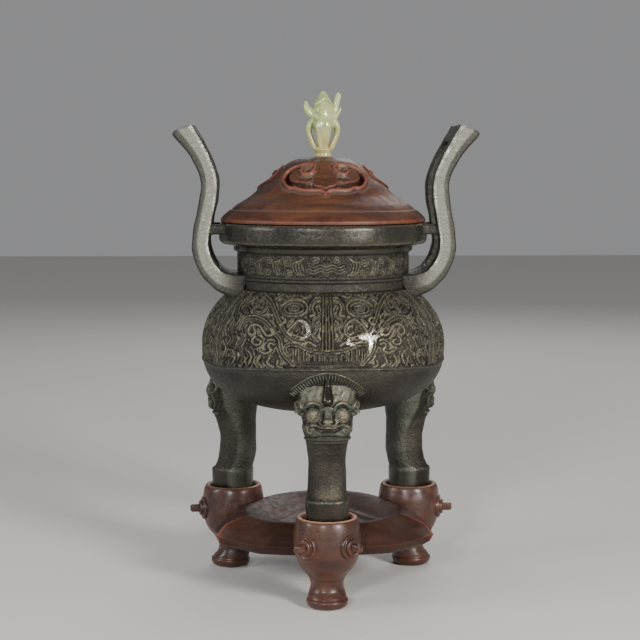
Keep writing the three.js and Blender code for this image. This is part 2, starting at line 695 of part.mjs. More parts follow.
/** The lobed platform, thin at its edge, with a crest round a sunk middle. */
function platform() {
  const { lobeR, crestShare, crestZ, dishZ, edgeZ, cuspZ, cuspTurn, ridgeRise, thickness } = PLATFORM;
  const turns = [...PLATFORM_TURNS.slice(1).reverse().map((turn) => -turn), ...PLATFORM_TURNS];
  turns.pop();
  const columns = Array.from({ length: LEG_COUNT }, (_, k) => turns.map((turn) => {
    const near = Math.exp(-Math.abs(turn) / cuspTurn);
    const edge = platformEdge(Math.abs(turn));
    const crest = (crestShare * (edge + lobeR)) / 2;
    const rim = edgeZ + (cuspZ - edgeZ) * near;
    const ridge = ridgeRise * near;
    const profile = [
      [edge * 0.42, dishZ + 0.6],
      [edge * 0.6, (dishZ + crestZ) / 2 + ridge * 0.3],
      [crest, crestZ + ridge * 0.5],
      [edge * 0.9, rim + (crestZ - rim) * 0.52 + ridge], [edge, rim],
      [edge - 2.6, rim - thickness * 0.6], [edge - thickness, rim - thickness],
      [crest, crestZ - thickness - 3], [edge * 0.45, dishZ - thickness],
    ];
    const angle = radians(90 + turn) + (k * TAU) / LEG_COUNT;
    return profile.map(([radius, z]) => new Vector3(radius * Math.cos(angle), radius * Math.sin(angle), z));
  })).flat();
  return skin(columns[0].map((_, row) => columns.map((column) => column[row])));
}

/** One of the stepped round bosses on the front cup, turned away from the front. */
function boss(turn) {
  const [[firstR]] = BOSS.steps;
  const profile = [[0, CUP_MAX_R - 6], [firstR, CUP_MAX_R - 6]];
  BOSS.steps.forEach(([radius, reach], i) => {
    profile.push([radius, reach - 0.6], [(BOSS.steps[i + 1] ?? [0])[0], reach]);
  });
  const disc = turned(profile, BOSS.sides).rotateX(Math.PI / 2);
  return disc.rotateZ(radians(turn)).translate(0, -LEG_CIRCLE_R, BOSS.z);
}

/** The carved stand. */
function stand() {
  const rim = CUP_PROFILE.at(-1)[1];
  const cup = turned([...CUP_PROFILE, [0, rim]], CUP_SEGMENTS).translate(0, -LEG_CIRCLE_R, 0);
  const above = rim + 4;
  const socket = turned([
    [0, SOCKET_FLOOR_Z], [SOCKET_R, SOCKET_FLOOR_Z], [SOCKET_R, above], [0, above],
  ], CUP_SEGMENTS);
  const sockets = join(atEveryLeg([socket.translate(0, -LEG_CIRCLE_R, 0)]));
  const pieces = atEveryLeg([cup, boss(BOSS.turn), boss(-BOSS.turn)]);
  return join([platform(), ...pieces]).subtract(sockets);
}

// Assembly

const bronze = new THREE.MeshStandardMaterial({ color: 0x2e2f2a, roughness: 0.5, metalness: 0.8 });
const darkWood = new THREE.MeshStandardMaterial({ color: 0x48180f, roughness: 0.38, metalness: 0 });
const jade = new THREE.MeshStandardMaterial({ color: 0xa5ab80, roughness: 0.22, metalness: 0 });

const censer = new THREE.Group();
censer.add(
  namedMesh('bronze_censer', vessel(), bronze),
  namedMesh('wood_lid', lid(), darkWood),
  namedMesh('jade_finial', finial(), jade),
  namedMesh('wood_stand', stand(), darkWood),
);

// The origin is on the floor, in the middle of the whole object's outline.
const outline = new THREE.Box3().setFromObject(censer);
censer.position.y = -outline.getCenter(new Vector3()).y;
censer.position.x = -outline.getCenter(new Vector3()).x;

export default censer;
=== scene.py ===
"""Visual model of a bronze tripod censer with a carved wood lid, a jade finial and a wood stand.

Sizes are millimetres from the vessel's upright axis, with the front along -Y, until a mesh is made.
"""

import logging  # noqa: E402
import math  # noqa: E402
from collections.abc import Sequence  # noqa: E402
from dataclasses import dataclass, field  # noqa: E402
from enum import Enum  # noqa: E402
from functools import cache  # noqa: E402

import bmesh  # noqa: E402
import bpy  # noqa: E402
import numpy as np  # noqa: E402
from mathutils import Matrix, Vector  # noqa: E402


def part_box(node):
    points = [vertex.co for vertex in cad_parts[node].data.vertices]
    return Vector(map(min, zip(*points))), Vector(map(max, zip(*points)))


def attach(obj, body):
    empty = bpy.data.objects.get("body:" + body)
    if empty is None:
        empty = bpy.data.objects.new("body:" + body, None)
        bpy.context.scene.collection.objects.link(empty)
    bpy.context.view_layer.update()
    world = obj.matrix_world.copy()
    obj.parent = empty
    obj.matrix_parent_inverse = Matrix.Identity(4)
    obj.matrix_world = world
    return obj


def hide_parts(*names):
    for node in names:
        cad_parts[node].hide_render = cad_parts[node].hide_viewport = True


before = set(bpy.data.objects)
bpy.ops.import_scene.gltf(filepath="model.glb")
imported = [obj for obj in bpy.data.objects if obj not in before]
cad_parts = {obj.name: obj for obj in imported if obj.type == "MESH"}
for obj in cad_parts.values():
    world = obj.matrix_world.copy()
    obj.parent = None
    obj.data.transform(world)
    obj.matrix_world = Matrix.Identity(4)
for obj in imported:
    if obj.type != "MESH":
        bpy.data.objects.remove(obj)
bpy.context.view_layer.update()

log = logging.getLogger("censer")

MM = 0.001
TAU = 2 * math.pi
PANEL = TAU / 3
LEG_TURNS = (0.0, 120.0, -120.0)
CRISP = 48.0
FAR = 99.0

Array = np.ndarray
Piece = bpy.types.Object
Mesh = bpy.types.Mesh
Node = bpy.types.Node
Socket = bpy.types.NodeSocket
Tree = bpy.types.NodeTree
Material = bpy.types.Material
Line = Sequence[tuple[float, float]]
Colour = tuple[float, float, float]
Marks = dict[str, Array | float]


class Slot(Enum):
    """The material slots."""

    BRONZE = "bronze"
    WOOD = "dark_wood"
    JADE = "jade"


# Plane drawing


def ramp(low: float, high: float, value: Array) -> Array:
    """A smooth step.

    Args:
        low: Value at which the step starts.
        high: Value at which it ends.
        value: Where it is read.

    Returns:
        Shares from 0 to 1.
    """
    share = np.clip((np.asarray(value, float) - low) / (high - low), 0, 1)
    return share * share * (3 - 2 * share)


def bell(value: Array, middle: float, width: float) -> Array:
    """A smooth bump of height 1 round a middle value."""
    return np.exp(-(((value - middle) / width) ** 2))


def squared(turn: Array, power: float) -> tuple[Array, Array]:
    """The cosine and sine of a turn, drawn out towards the corners of a square."""
    sides = (np.cos(turn), np.sin(turn))
    return tuple(np.sign(side) * np.abs(side) ** power for side in sides)


def folded(angle: Array) -> Array:
    """Angle from the middle of the nearest of the three panels."""
    return np.abs((angle + PANEL / 2) % PANEL - PANEL / 2)


def spline(points: Line, steps: int = 8, closed: bool = False) -> Array:
    """A smooth curve through points.

    Args:
        points: The points it passes through.
        steps: How many pieces lie between two of them.
        closed: Whether it comes back to its start.

    Returns:
        Its points, one row each.
    """
    given = np.array(points, float)
    if closed:
        ends = np.vstack([given[-1:], given, given[:2]])
    else:
        ends = np.vstack([2 * given[0] - given[1], given, 2 * given[-1] - given[-2]])
    share = np.linspace(0, 1, steps, endpoint=False)[:, None]
    pieces = []
    for i in range(len(ends) - 3):
        a, b, c, d = ends[i : i + 4]
        pieces.append(
            0.5
            * (
                2 * b
                + (c - a) * share
                + (2 * a - 5 * b + 4 * c - d) * share**2
                + (3 * b - a - 3 * c + d) * share**3
            )
        )
    return np.vstack([*pieces, ends[-2:-1]])


def curl(
    centre: tuple[float, float], radius: float, start: float, turns: float, squash: float = 1.0
) -> Array:
    """A spiral that winds in to its centre.

    Args:
        centre: Its middle.
        radius: Its outer radius.
        start: Angle of its outer end, in degrees.
        turns: How often it goes round; below 0 it goes clockwise.
        squash: Height as a share of width.

    Returns:
        Its points, from the outer end in.
    """
    share = np.linspace(0, 1, int(14 * abs(turns)) + 4)
    angle = math.radians(start) + TAU * turns * share
    size = radius * (1 - 0.86 * share)
    return np.column_stack(
        [centre[0] + size * np.cos(angle), centre[1] + squash * size * np.sin(angle)]
    )


def distance(across: Array, up: Array, path: Array) -> Array:
    """How far points are from a path.

    Args:
        across: First coordinate of each point.
        up: Second coordinate.
        path: The path's points.

    Returns:
        The distances, in the shape of the coordinates.
    """
    x, y = across.ravel(), up.ravel()
    nearest = np.full(x.shape, np.inf)
    for start, end in zip(path[:-1], path[1:]):
        along = end - start
        length = max(float(along @ along), 1e-12)
        share = np.clip(((x - start[0]) * along[0] + (y - start[1]) * along[1]) / length, 0, 1)
        gap = (x - start[0] - share * along[0]) ** 2 + (y - start[1] - share * along[1]) ** 2
        np.minimum(nearest, gap, out=nearest)
    return np.sqrt(nearest).reshape(across.shape)


def within(across: Array, up: Array, outline: Array) -> Array:
    """Which points an outline surrounds.

    Args:
        across: First coordinate of each point.
        up: Second coordinate.
        outline: The outline's corners.

    Returns:
        True for each point inside.
    """
    inside = np.zeros(across.shape, bool)
    for (x0, y0), (x1, y1) in zip(outline, np.roll(outline, -1, axis=0)):
        if y0 == y1:
            continue
        crosses = (y0 > up) != (y1 > up)
        inside ^= crosses & (across < x0 + (up - y0) * (x1 - x0) / (y1 - y0))
    return inside


def edge_distance(across: Array, up: Array, outline: Array) -> Array:
    """Distance to an outline's edge, positive inside it."""
    gap = distance(across, up, np.vstack([outline, outline[:1]]))
    return np.where(within(across, up, outline), gap, -gap)


def rounded(profile: Line, reach: float = 0.8) -> Array:
    """A profile with its corners rounded.

    Args:
        profile: Its corners.
        reach: How far from each corner the rounding starts.

    Returns:
        Its points.
    """
    corners = np.array(profile, float)
    points = [corners[0]]
    for before, corner, after in zip(corners, corners[1:], corners[2:]):
        to_before, to_after = before - corner, after - corner
        near, far = np.linalg.norm(to_before), np.linalg.norm(to_after)
        first = corner + to_before / near * min(reach, 0.45 * near)
        last = corner + to_after / far * min(reach, 0.45 * far)
        for share in (0, 0.25, 0.5, 0.75, 1):
            points.append(
                (1 - share) ** 2 * first + 2 * share * (1 - share) * corner + share**2 * last
            )
    return np.vstack([*points, corners[-1]])


def lengths(path: Array) -> Array:
    """Length along a path at each of its points."""
    return np.concatenate([[0], np.cumsum(np.linalg.norm(np.diff(path, axis=0), axis=1))])


def evenly(path: Array, count: int) -> Array:
    """A path read at evenly spaced points.

    Args:
        path: The path's points.
        count: How many points to return.

    Returns:
        The evenly spaced points.
    """
    along = lengths(path)
    wanted = np.linspace(0, along[-1], count)
    return np.column_stack([np.interp(wanted, along, column) for column in path.T])


def unevenness(points: Array, wavelength: float, seed: int) -> Array:
    """A soft, smooth wander from -1 to 1 of a hand-made surface.

    Args:
        points: Where it is read.
        wavelength: Size of its swells.
        seed: Which pattern it is.

    Returns:
        One value for each point.
    """
    draw = np.random.default_rng(seed)
    total = np.zeros(points.shape[:-1])
    waves = 7
    for _ in range(waves):
        direction = draw.normal(size=3)
        direction *= TAU / wavelength * draw.uniform(0.6, 1.5) / np.linalg.norm(direction)
        total += np.sin(points @ direction + draw.uniform(0, TAU))
    return total / math.sqrt(waves) / 1.4


@dataclass
class Drawing:
    """Relief being drawn on a surface that is laid out flat."""

    across: Array
    up: Array
    floor: float
    soft: float = 0.35
    height: Array = field(init=False)
    beside: Array = field(init=False)

    def __post_init__(self) -> None:
        """Starts from an even floor, with no band near."""
        self.height = np.full(self.across.shape, self.floor)
        self.beside = np.full(self.across.shape, FAR)

    def band(self, path: Array, half_width: float, rise: float, groove: float = 0.0) -> None:
        """Raises a band along a path.

        Args:
            path: The path's points.
            half_width: Half the band's width.
            rise: Its height over the floor.
            groove: Depth of the line cut along its middle.
        """
        gap = distance(self.across, self.up, path)
        self.beside = np.minimum(self.beside, gap - half_width)
        shape = rise * (1 - ramp(half_width - self.soft, half_width + self.soft, gap))
        shape -= groove * bell(gap, 0, 0.36 * half_width)
        self.height = np.maximum(self.height, self.floor + shape)

    def fill(self, pitch: float, rise: float, seed: int) -> None:
        """Fills the ground with fine broken lines that follow the bands.

        Args:
            pitch: Distance from one line to the next.
            rise: Their height over the floor.
            seed: Which pattern of breaks they have.
        """
        spots = np.stack([self.across, self.up, 0 * self.up], axis=-1)
        wander = 0.42 * unevenness(spots, 3.4 * pitch, seed)
        wave = 0.5 - 0.5 * np.cos(TAU * (self.beside / pitch + wander - 0.06))
        wave = ramp(0.16, 0.62, wave)
        kept = ramp(-0.95, -0.55, unevenness(spots, 2.2 * pitch, seed + 1))
        lines = rise * wave * kept * ramp(0.1, 0.5, self.beside)
        self.height = np.maximum(self.height, self.floor + lines)

    def share(self, full: float) -> Array:
        """The heights as marks from -0.9 on the floor to 0.95 at a full rise."""
        return -0.9 + 1.85 * np.clip((self.height - self.floor) / full, 0, 1)

    def dome(
        self, centre: tuple[float, float], half_width: float, half_height: float, rise: float
    ) -> None:
        """Adds a round swelling.

        Args:
            centre: Its middle.
            half_width: Its reach across.
            half_height: Its reach up and down.
            rise: Height it adds.
        """
        reach = np.hypot(
            (self.across - centre[0]) / half_width, (self.up - centre[1]) / half_height
        )
        self.height += rise * np.sqrt(np.clip(1 - reach**2, 0, 1))

    def cut(self, path: Array, half_width: float, depth: float) -> None:
        """Sinks a line.

        Args:
            path: The line's points.
            half_width: Half its width.
            depth: Its depth.
        """
        gap = distance(self.across, self.up, path)
        self.height -= depth * (1 - ramp(0.3 * half_width, 1.3 * half_width, gap))


# Meshes


def surface_normals(grid: Array) -> Array:
    """Unit normals of rings of points.

    Args:
        grid: The rings, one after another.

    Returns:
        One normal for each point.
    """
    columns = (np.roll(grid, -1, axis=1) - np.roll(grid, 1, axis=1)) / 2
    normal = np.cross(columns, np.gradient(grid, axis=0))
    return normal / np.maximum(np.linalg.norm(normal, axis=2, keepdims=True), 1e-9)


def raised(grid: Array, height: Array) -> Array:
    """Rings of points, each moved off the surface by its own height."""
    return grid + surface_normals(grid) * height[..., None]


@dataclass
class Skin:
    """A closed surface in the making, with values that its finish reads."""

    points: list[Array] = field(default_factory=list)
    faces: list[tuple[int, ...]] = field(default_factory=list)
    marks: dict[str, list[Array]] = field(default_factory=dict)
    count: int = 0

    def add_points(self, points: Array, marks: Marks | None = None) -> range:
        """Adds loose points.

        Args:
            points: The points, one row each.
            marks: Values at them by name.

        Returns:
            Their numbers.
        """
        start, self.count = self.count, self.count + len(points)
        self.points.append(points)
        given = marks or {}
        for name in {**self.marks, **given}:
            known = self.marks.setdefault(name, [np.zeros(start)] if start else [])
            known.append(np.asarray(given.get(name, np.zeros(len(points))), float))
        return range(start, self.count)

    def add_grid(
        self, grid: Array, marks: Marks | None = None, rows_meet: bool = False
    ) -> tuple[range, range]:
        """Adds rings of points, each closed on itself.

        Args:
            grid: The rings, one after another.
            marks: Values at their points by name.
            rows_meet: Whether the last ring joins the first.

        Returns:
            The numbers of the first and of the last ring.
        """
        rings, around = grid.shape[:2]
        flat = {
            name: np.broadcast_to(value, (rings, around)).ravel()
            for name, value in (marks or {}).items()
        }
        ids = np.array(self.add_points(grid.reshape(-1, 3), flat)).reshape(rings, around)
        upper = np.roll(ids, -1, axis=0)[: rings if rows_meet else rings - 1]
        lower = ids[: len(upper)]
        quads = np.stack(
            [lower, np.roll(lower, -1, axis=1), np.roll(upper, -1, axis=1), upper], axis=-1
        )
        self.faces.extend(map(tuple, quads.reshape(-1, 4).tolist()))
        return range(ids[0, 0], ids[0, -1] + 1), range(ids[-1, 0], ids[-1, -1] + 1)

    def bridge(self, first: Sequence[int], last: Sequence[int]) -> None:
        """Joins two rings that may have different counts.

        Args:
            first: Numbers of one ring.
            last: Numbers of the other.
        """
        i = j = 0
        while i < len(first) or j < len(last):
            at, to = first[i % len(first)], last[j % len(last)]
            if (i + 1) / len(first) <= (j + 1) / len(last):
                i += 1
                self.faces.append((at, first[i % len(first)], to))
            else:
                j += 1
                self.faces.append((at, last[j % len(last)], to))

    def add_chain(self, *parts: tuple[Array, Marks]) -> tuple[range, range]:
        """Adds several parts of a wall, each joined to the one before.

        Args:
            parts: Rings of points and the values at them, for each part.

        Returns:
            The numbers of the very first and of the very last ring.
        """
        ends = [self.add_grid(grid, marks) for grid, marks in parts]
        for (_, last), (first, _) in zip(ends, ends[1:]):
            self.bridge(last, first)
        return ends[0][0], ends[-1][1]

    def cap(self, ring: Sequence[int], middle: Array) -> None:
        """Closes a ring with a fan.

        Args:
            ring: Its numbers.
            middle: The fan's middle point.
        """
        hub = self.add_points(np.array([middle], float))[0]
        for at, after in zip(ring, [*ring[1:], ring[0]]):
            self.faces.append((at, after, hub))

    def add_solid(self, grid: Array, marks: Marks | None = None, tip: float = 0.0) -> None:
        """Adds rings of points that are closed at both ends.

        Args:
            grid: The rings, one after another.
            marks: Values at their points by name.
            tip: How far the middle of the last end stands up.
        """
        first, last = self.add_grid(grid, marks)
        self.cap(first, grid[0].mean(axis=0))
        self.cap(last, grid[-1].mean(axis=0) + [0, 0, tip])

    def to_object(self, name: str, sharp: float = CRISP) -> Piece:
        """Makes the mesh.

        Args:
            name: The piece's name.
            sharp: Edges that turn by more degrees than this stay crisp.

        Returns:
            The new object, with outward faces.
        """
        mesh = bpy.data.meshes.new(name)
        points = np.vstack(self.points) * MM + np.array(AXIS)
        mesh.from_pydata(points.tolist(), [], self.faces)
        for mark, values in self.marks.items():
            attribute = mesh.attributes.new(mark, "FLOAT", "POINT")
            attribute.data.foreach_set("value", np.concatenate(values).astype(np.float32))
        return finish_mesh(mesh, name, sharp)


def linked(name: str, data: bpy.types.ID) -> Piece:
    """A new object in the scene.

    Args:
        name: Its name.
        data: Its mesh, light or camera.

    Returns:
        The object.
    """
    made = bpy.data.objects.new(name, data)
    bpy.context.scene.collection.objects.link(made)
    return made


def finish_mesh(mesh: Mesh, name: str, sharp: float) -> Piece:
    """Turns a mesh's faces outward and links it as an object.

    Args:
        mesh: The mesh.
        name: The piece's name.
        sharp: Edges that turn by more degrees than this stay crisp.

    Returns:
        The new object.
    """
    work = bmesh.new()
    work.from_mesh(mesh)
    bmesh.ops.recalc_face_normals(work, faces=work.faces)
    work.to_mesh(mesh)
    work.free()
    mesh.polygons.foreach_set("use_smooth", [True] * len(mesh.polygons))
    mesh.set_sharp_from_angle(angle=math.radians(sharp))
    return linked(name, mesh)


def turned_about(points: Array, degrees: float) -> Array:
    """Points turned about the upright axis."""
    cos, sin = math.cos(math.radians(degrees)), math.sin(math.radians(degrees))
    return points @ np.array([[cos, sin, 0], [-sin, cos, 0], [0, 0, 1]])


def turned_grid(profile: Array, around: int) -> Array:
    """Rings of a body of revolution.

    Args:
        profile: Radius and height of each ring.
        around: Points in a ring, the first at the front.

    Returns:
        The grid of points.
    """
    angle = TAU * np.arange(around) / around
    grid = np.empty((len(profile), around, 3))
    grid[..., 0] = profile[:, :1] * np.sin(angle)
    grid[..., 1] = -profile[:, :1] * np.cos(angle)
    grid[..., 2] = profile[:, 1:]
    return grid


def angles_of(grid: Array) -> Array:
    """Angle from the front at each point of turned rings."""
    around = grid.shape[1]
    return np.broadcast_to(TAU * np.arange(around) / around, grid.shape[:2])


# How far the vessel's axis stands behind the middle of the stand's box.
AXIS_SETBACK = 6.427


def vessel_axis() -> Vector:
    """The foot of the vessel's upright axis, in metres.

    Returns:
        The point.
    """
    low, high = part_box("wood_stand")
    middle = (low + high) / 2
    return Vector((middle.x, middle.y + AXIS_SETBACK * MM, 0))


AXIS = vessel_axis()


def dressed(
    piece: Piece,
    material: Material | None,
    replaces: str | None = None,
) -> Piece:
    """Gives a finished piece its material and ties it to the frame.

    Args:
        piece: The piece.
        material: Its finish, or None where its mesh has it already.
        replaces: The CAD node it stands for.

    Returns:
        The piece.
    """
    if material is not None:
        piece.data.materials.clear()
        piece.data.materials.append(material)
    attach(piece, "root")
    if replaces:
        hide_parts(replaces)
    triangles = sum(len(face.vertices) - 2 for face in piece.data.polygons)
    log.info("%s: %d triangles", piece.name, triangles)
    return piece


# Node trees


@dataclass
class Graph:
    """Short ways to fill a node tree."""

    tree: Tree

    def add(
        self, kind: str, inputs: dict[str | int, object] | None = None, **settings: object
    ) -> Node:
        """Adds a node.

        Args:
            kind: The node's type.
            inputs: A value or a socket for each named input.
            settings: The node's own properties.

        Returns:
            The node.
        """
        node = self.tree.nodes.new(kind)
        for name, value in settings.items():
            setattr(node, name, value)
        for key, value in (inputs or {}).items():
            self.feed(node.inputs[key], value)
        return node

    def feed(self, socket: Socket, value: object) -> None:
        """Links or sets one input."""
        if isinstance(value, Socket):
            self.tree.links.new(value, socket)
        else:
            socket.default_value = value

    def math(self, operation: str, first: object, second: object = 0.0) -> Socket:
        """The result of an operation on two numbers."""
        return self.add("ShaderNodeMath", {0: first, 1: second}, operation=operation).outputs[0]

    def times(self, first: object, second: object) -> Socket:
        """The product of two numbers."""
        return self.math("MULTIPLY", first, second)

    def blend(self, share: object, first: object, second: object) -> Socket:
        """A colour between two colours.

        Args:
            share: How much of the second there is.
            first: The first colour.
            second: The second colour.

        Returns:
            The blend.
        """
        node = self.add("ShaderNodeMix", data_type="RGBA")
        self.feed(node.inputs["Factor"], share)
        for socket, value in zip([node.inputs[6], node.inputs[7]], (first, second)):
            if isinstance(value, tuple):
                value = (*value[:3], 1.0)
            self.feed(socket, value)
        return node.outputs[2]

    def between(self, share: object, first: float, second: float) -> Socket:
        """A number between two numbers."""
        spread = {"Value": share, "To Min": first, "To Max": second}
        return self.add("ShaderNodeMapRange", spread).outputs[0]

    def step(self, value: object, low: object, high: object) -> Socket:
        """A smooth step of a value between two levels."""
        node = self.add(
            "ShaderNodeMapRange",
            {"Value": value, "From Min": low, "From Max": high},
            interpolation_type="SMOOTHSTEP",
        )
        return node.outputs[0]

    def noise(
        self, place: object, scale: object, detail: float = 3.0, roughness: float = 0.55
    ) -> Socket:
        """A cloudy pattern's value."""
        node = self.add(
            "ShaderNodeTexNoise",
            {"Vector": place, "Scale": scale, "Detail": detail, "Roughness": roughness},
        )
        return node.outputs["Fac"]

    def mark(self, name: str) -> Socket:
        """A value that the mesh carries."""
        return self.add("ShaderNodeAttribute", attribute_name=name).outputs["Fac"]

    def place(self) -> Socket:
        """Where a point lies on the piece."""
        return self.add("ShaderNodeTexCoord").outputs["Object"]

    def group(self, tree: Tree, **inputs: object) -> Node:
        """A shared group with this material's own values."""
        return self.add("ShaderNodeGroup", inputs, node_tree=tree)

    def bump(self, shader: Node, height: object, depth: float) -> None:
        """Gives a shader a fine uneven surface.

        Args:
            shader: The shader.
            height: Socket of the heights, from 0 to 1.
            depth: Height of the bumps in millimetres.
        """
        bump = self.add("ShaderNodeBump", {"Height": height, "Distance": depth * MM})
        bump.inputs["Strength"].default_value = 1.0
        self.feed(shader.inputs["Normal"], bump.outputs["Normal"])


def start_group(
    name: str, inputs: dict[str, float], outputs: Sequence[str]
) -> tuple[Graph, bpy.types.NodeOutputs, bpy.types.NodeInputs]:
    """Begins a shader group.

    Args:
        name: The group's name.
        inputs: Its inputs and their usual values.
        outputs: Its outputs.

    Returns:
        The graph, the sockets that bring its inputs, and the sockets that take its outputs.
    """
    tree = bpy.data.node_groups.new(name, "ShaderNodeTree")
    for label, value in inputs.items():
        socket = tree.interface.new_socket(label, in_out="INPUT", socket_type="NodeSocketFloat")
        socket.default_value = value
    for label in outputs:
        tree.interface.new_socket(label, in_out="OUTPUT", socket_type="NodeSocketFloat")
    graph = Graph(tree)
    return graph, graph.add("NodeGroupInput").outputs, graph.add("NodeGroupOutput").inputs


@cache
def cloud_group() -> Tree:
    """Broad and fine blotches, as patina and old polish have.

    Returns:
        The tree.
    """
    graph, given, result = start_group(
        "cloudiness", {"Broad": 45.0, "Fine": 320.0}, ("Blotches", "Specks", "Grain")
    )
    place = graph.place()
    broad = graph.noise(place, given["Broad"], 5.0, 0.6)
    fine = graph.noise(place, given["Fine"], 4.0, 0.65)
    graph.feed(result["Blotches"], graph.step(broad, 0.36, 0.64))
    graph.feed(result["Specks"], graph.step(fine, 0.4, 0.66))
    graph.feed(result["Grain"], graph.noise(place, graph.times(given["Fine"], 5.0), 2.0))
    return graph.tree


@cache
def wear_group() -> Tree:
    """Wear that takes the high places first and breaks up at its edge.

    Returns:
        The tree.
    """
    graph, given, result = start_group(
        "rubbed", {"Height": 0.0, "From": 0.6, "To": 1.0, "Scale": 260.0}, ("Rubbed",)
    )
    patchy = graph.noise(graph.place(), given["Scale"], 4.0, 0.6)
    spread = graph.times(graph.math("SUBTRACT", patchy, 0.5), 0.5)
    height = graph.math("ADD", spread, given["Height"])
    graph.feed(result["Rubbed"], graph.step(height, given["From"], given["To"]))
    return graph.tree


@cache
def grain_group() -> Tree:
    """Straight wood grain along X, with short dark pores.

    Returns:
        The tree.
    """
    graph, given, result = start_group(
        "grain", {"Scale": 90.0, "Stretch": 0.09}, ("Streaks", "Pores")
    )
    squeeze = graph.add("ShaderNodeCombineXYZ", {"X": given["Stretch"], "Y": 1.0, "Z": 1.0})
    laid = graph.add(
        "ShaderNodeVectorMath", {0: graph.place(), 1: squeeze.outputs[0]}, operation="MULTIPLY"
    ).outputs[0]
    streaks = graph.noise(laid, given["Scale"], 4.0, 0.62)
    pores = graph.noise(laid, graph.times(given["Scale"], 9.0), 2.0)
    graph.feed(result["Streaks"], graph.step(streaks, 0.34, 0.66))
    graph.feed(result["Pores"], graph.step(pores, 0.56, 0.7))
    return graph.tree


def new_material(name: str) -> tuple[Material, Graph, Node]:
    """Starts a material.

    Args:
        name: Its name.

    Returns:
        The material, its graph and its shader.
    """
    material = bpy.data.materials.new(name)
    material.use_nodes = True
    graph = Graph(material.node_tree)
    shader = next(n for n in graph.tree.nodes if n.type == "BSDF_PRINCIPLED")
    return material, graph, shader


@dataclass(frozen=True)
class BronzeFinish:
    """Dark patinated bronze: brown in the hollows, olive on the relief and grey where rubbed."""

    name: str
    hollow: Colour = (0.012, 0.008, 0.005)
    skin: Colour = (0.03, 0.028, 0.024)
    tint: Colour = (0.043, 0.038, 0.027)
    crest: Colour = (0.2, 0.182, 0.118)
    bare: Colour = (0.42, 0.41, 0.35)
    gloss: float = 0.38
    pitting: float = 0.5

    def build(self) -> Material:
        """Makes the material, which reads the marks relief, worn, pale and polish.

        Returns:
            The material.
        """
        material, graph, shader = new_material(self.name)
        clouds = graph.group(cloud_group(), Broad=38.0, Fine=420.0).outputs
        relief, worn, pale, polish = map(graph.mark, ("relief", "worn", "pale", "polish"))
        crests = graph.group(wear_group(), Height=relief, From=0.5, To=1.05, Scale=300.0).outputs[0]
        bared = graph.group(wear_group(), Height=worn, From=0.35, To=0.8, Scale=520.0).outputs[0]
        ground = graph.blend(graph.step(relief, -0.75, 0.1), self.hollow, self.skin)
        ground = graph.blend(graph.times(clouds["Blotches"], 0.7), ground, self.tint)
        colour = graph.blend(graph.times(crests, 0.75), ground, self.crest)
        speckled = graph.times(pale, graph.between(clouds["Specks"], 0.62, 1.0))
        colour = graph.blend(speckled, colour, self.crest)
        graph.feed(shader.inputs["Base Color"], graph.blend(bared, colour, self.bare))
        shiny = graph.math("MAXIMUM", bared, graph.times(crests, 0.5))
        rough = graph.between(shiny, self.gloss + 0.08, self.gloss - 0.14)
        rough = graph.math("ADD", rough, graph.between(clouds["Specks"], -0.03, 0.09))
        rough = graph.math("SUBTRACT", rough, graph.times(polish, 0.2))
        graph.feed(shader.inputs["Roughness"], rough)
        graph.feed(shader.inputs["Metallic"], graph.between(shiny, 0.5, 0.95))
        specks, grain = graph.times(clouds["Specks"], 0.6), graph.times(clouds["Grain"], 0.4)
        height = graph.times(graph.math("ADD", specks, grain), graph.between(polish, 1.0, 0.2))
        graph.bump(shader, height, self.pitting)
        return material


@dataclass(frozen=True)
class WoodFinish:
    """Dark reddish hardwood with a satin polish, orange where its edges are rubbed, with painted
    shade in recesses and painted light on the cups' inner rims.
    """

    name: str
    # Dark wood for pores and blotches, also used as painted shade in recesses.
    deep: Colour = (0.014, 0.004, 0.003)
    body: Colour = (0.042, 0.011, 0.007)
    figure: Colour = (0.072, 0.021, 0.01)
    rubbed: Colour = (0.2, 0.05, 0.025)
    dust: Colour = (0.1, 0.08, 0.062)
    # Painted light: the lit inner wall of a cup socket, put where the pale mark is.
    lip: Colour = (0.5, 0.26, 0.16)
    gloss: float = 0.36
    polish: float = 0.2
    grain_depth: float = 0.12
    shine: float = 0.4

    def build(self) -> Material:
        """Makes the material, which reads the marks relief (painted shade in recesses), worn, dust
        and pale (painted light on inner rims).

        Returns:
            The material.
        """
        material, graph, shader = new_material(self.name)
        grain = graph.group(grain_group(), Scale=95.0, Stretch=0.1).outputs
        clouds = graph.group(cloud_group(), Broad=26.0, Fine=240.0).outputs
        relief, worn, dust, pale = map(graph.mark, ("relief", "worn", "dust", "pale"))
        bared = graph.group(wear_group(), Height=worn, From=0.25, To=0.95, Scale=240.0).outputs[0]
        colour = graph.blend(grain["Streaks"], self.body, self.figure)
        colour = graph.blend(graph.times(clouds["Blotches"], 0.45), colour, self.deep)
        # Painted shade: near-black where the relief mark is low, in the lid's carved channels and
        # inside the cup sockets.
        colour = graph.blend(graph.step(relief, -0.1, -0.9), colour, self.deep)
        colour = graph.blend(graph.times(bared, 0.8), colour, self.rubbed)
        colour = graph.blend(graph.times(dust, 0.6), colour, self.dust)
        # Painted light: the lip colour where the pale mark is, on the cups' inner rims.
        colour = graph.blend(pale, colour, self.lip)
        colour = graph.blend(graph.times(grain["Pores"], 0.35), colour, self.deep)
        graph.feed(shader.inputs["Base Color"], colour)
        rough = graph.between(clouds["Specks"], self.gloss - 0.05, self.gloss + 0.1)
        rough = graph.math("ADD", rough, graph.times(dust, 0.25))
        graph.feed(shader.inputs["Roughness"], rough)
        shader.inputs["Coat Weight"].default_value = self.polish
        shader.inputs["Coat Roughness"].default_value = 0.25
        shader.inputs["Specular IOR Level"].default_value = self.shine
        streaks, pores = graph.times(grain["Streaks"], 0.5), graph.times(grain["Pores"], 0.5)
        graph.bump(shader, graph.math("SUBTRACT", streaks, pores), self.grain_depth)
        return material


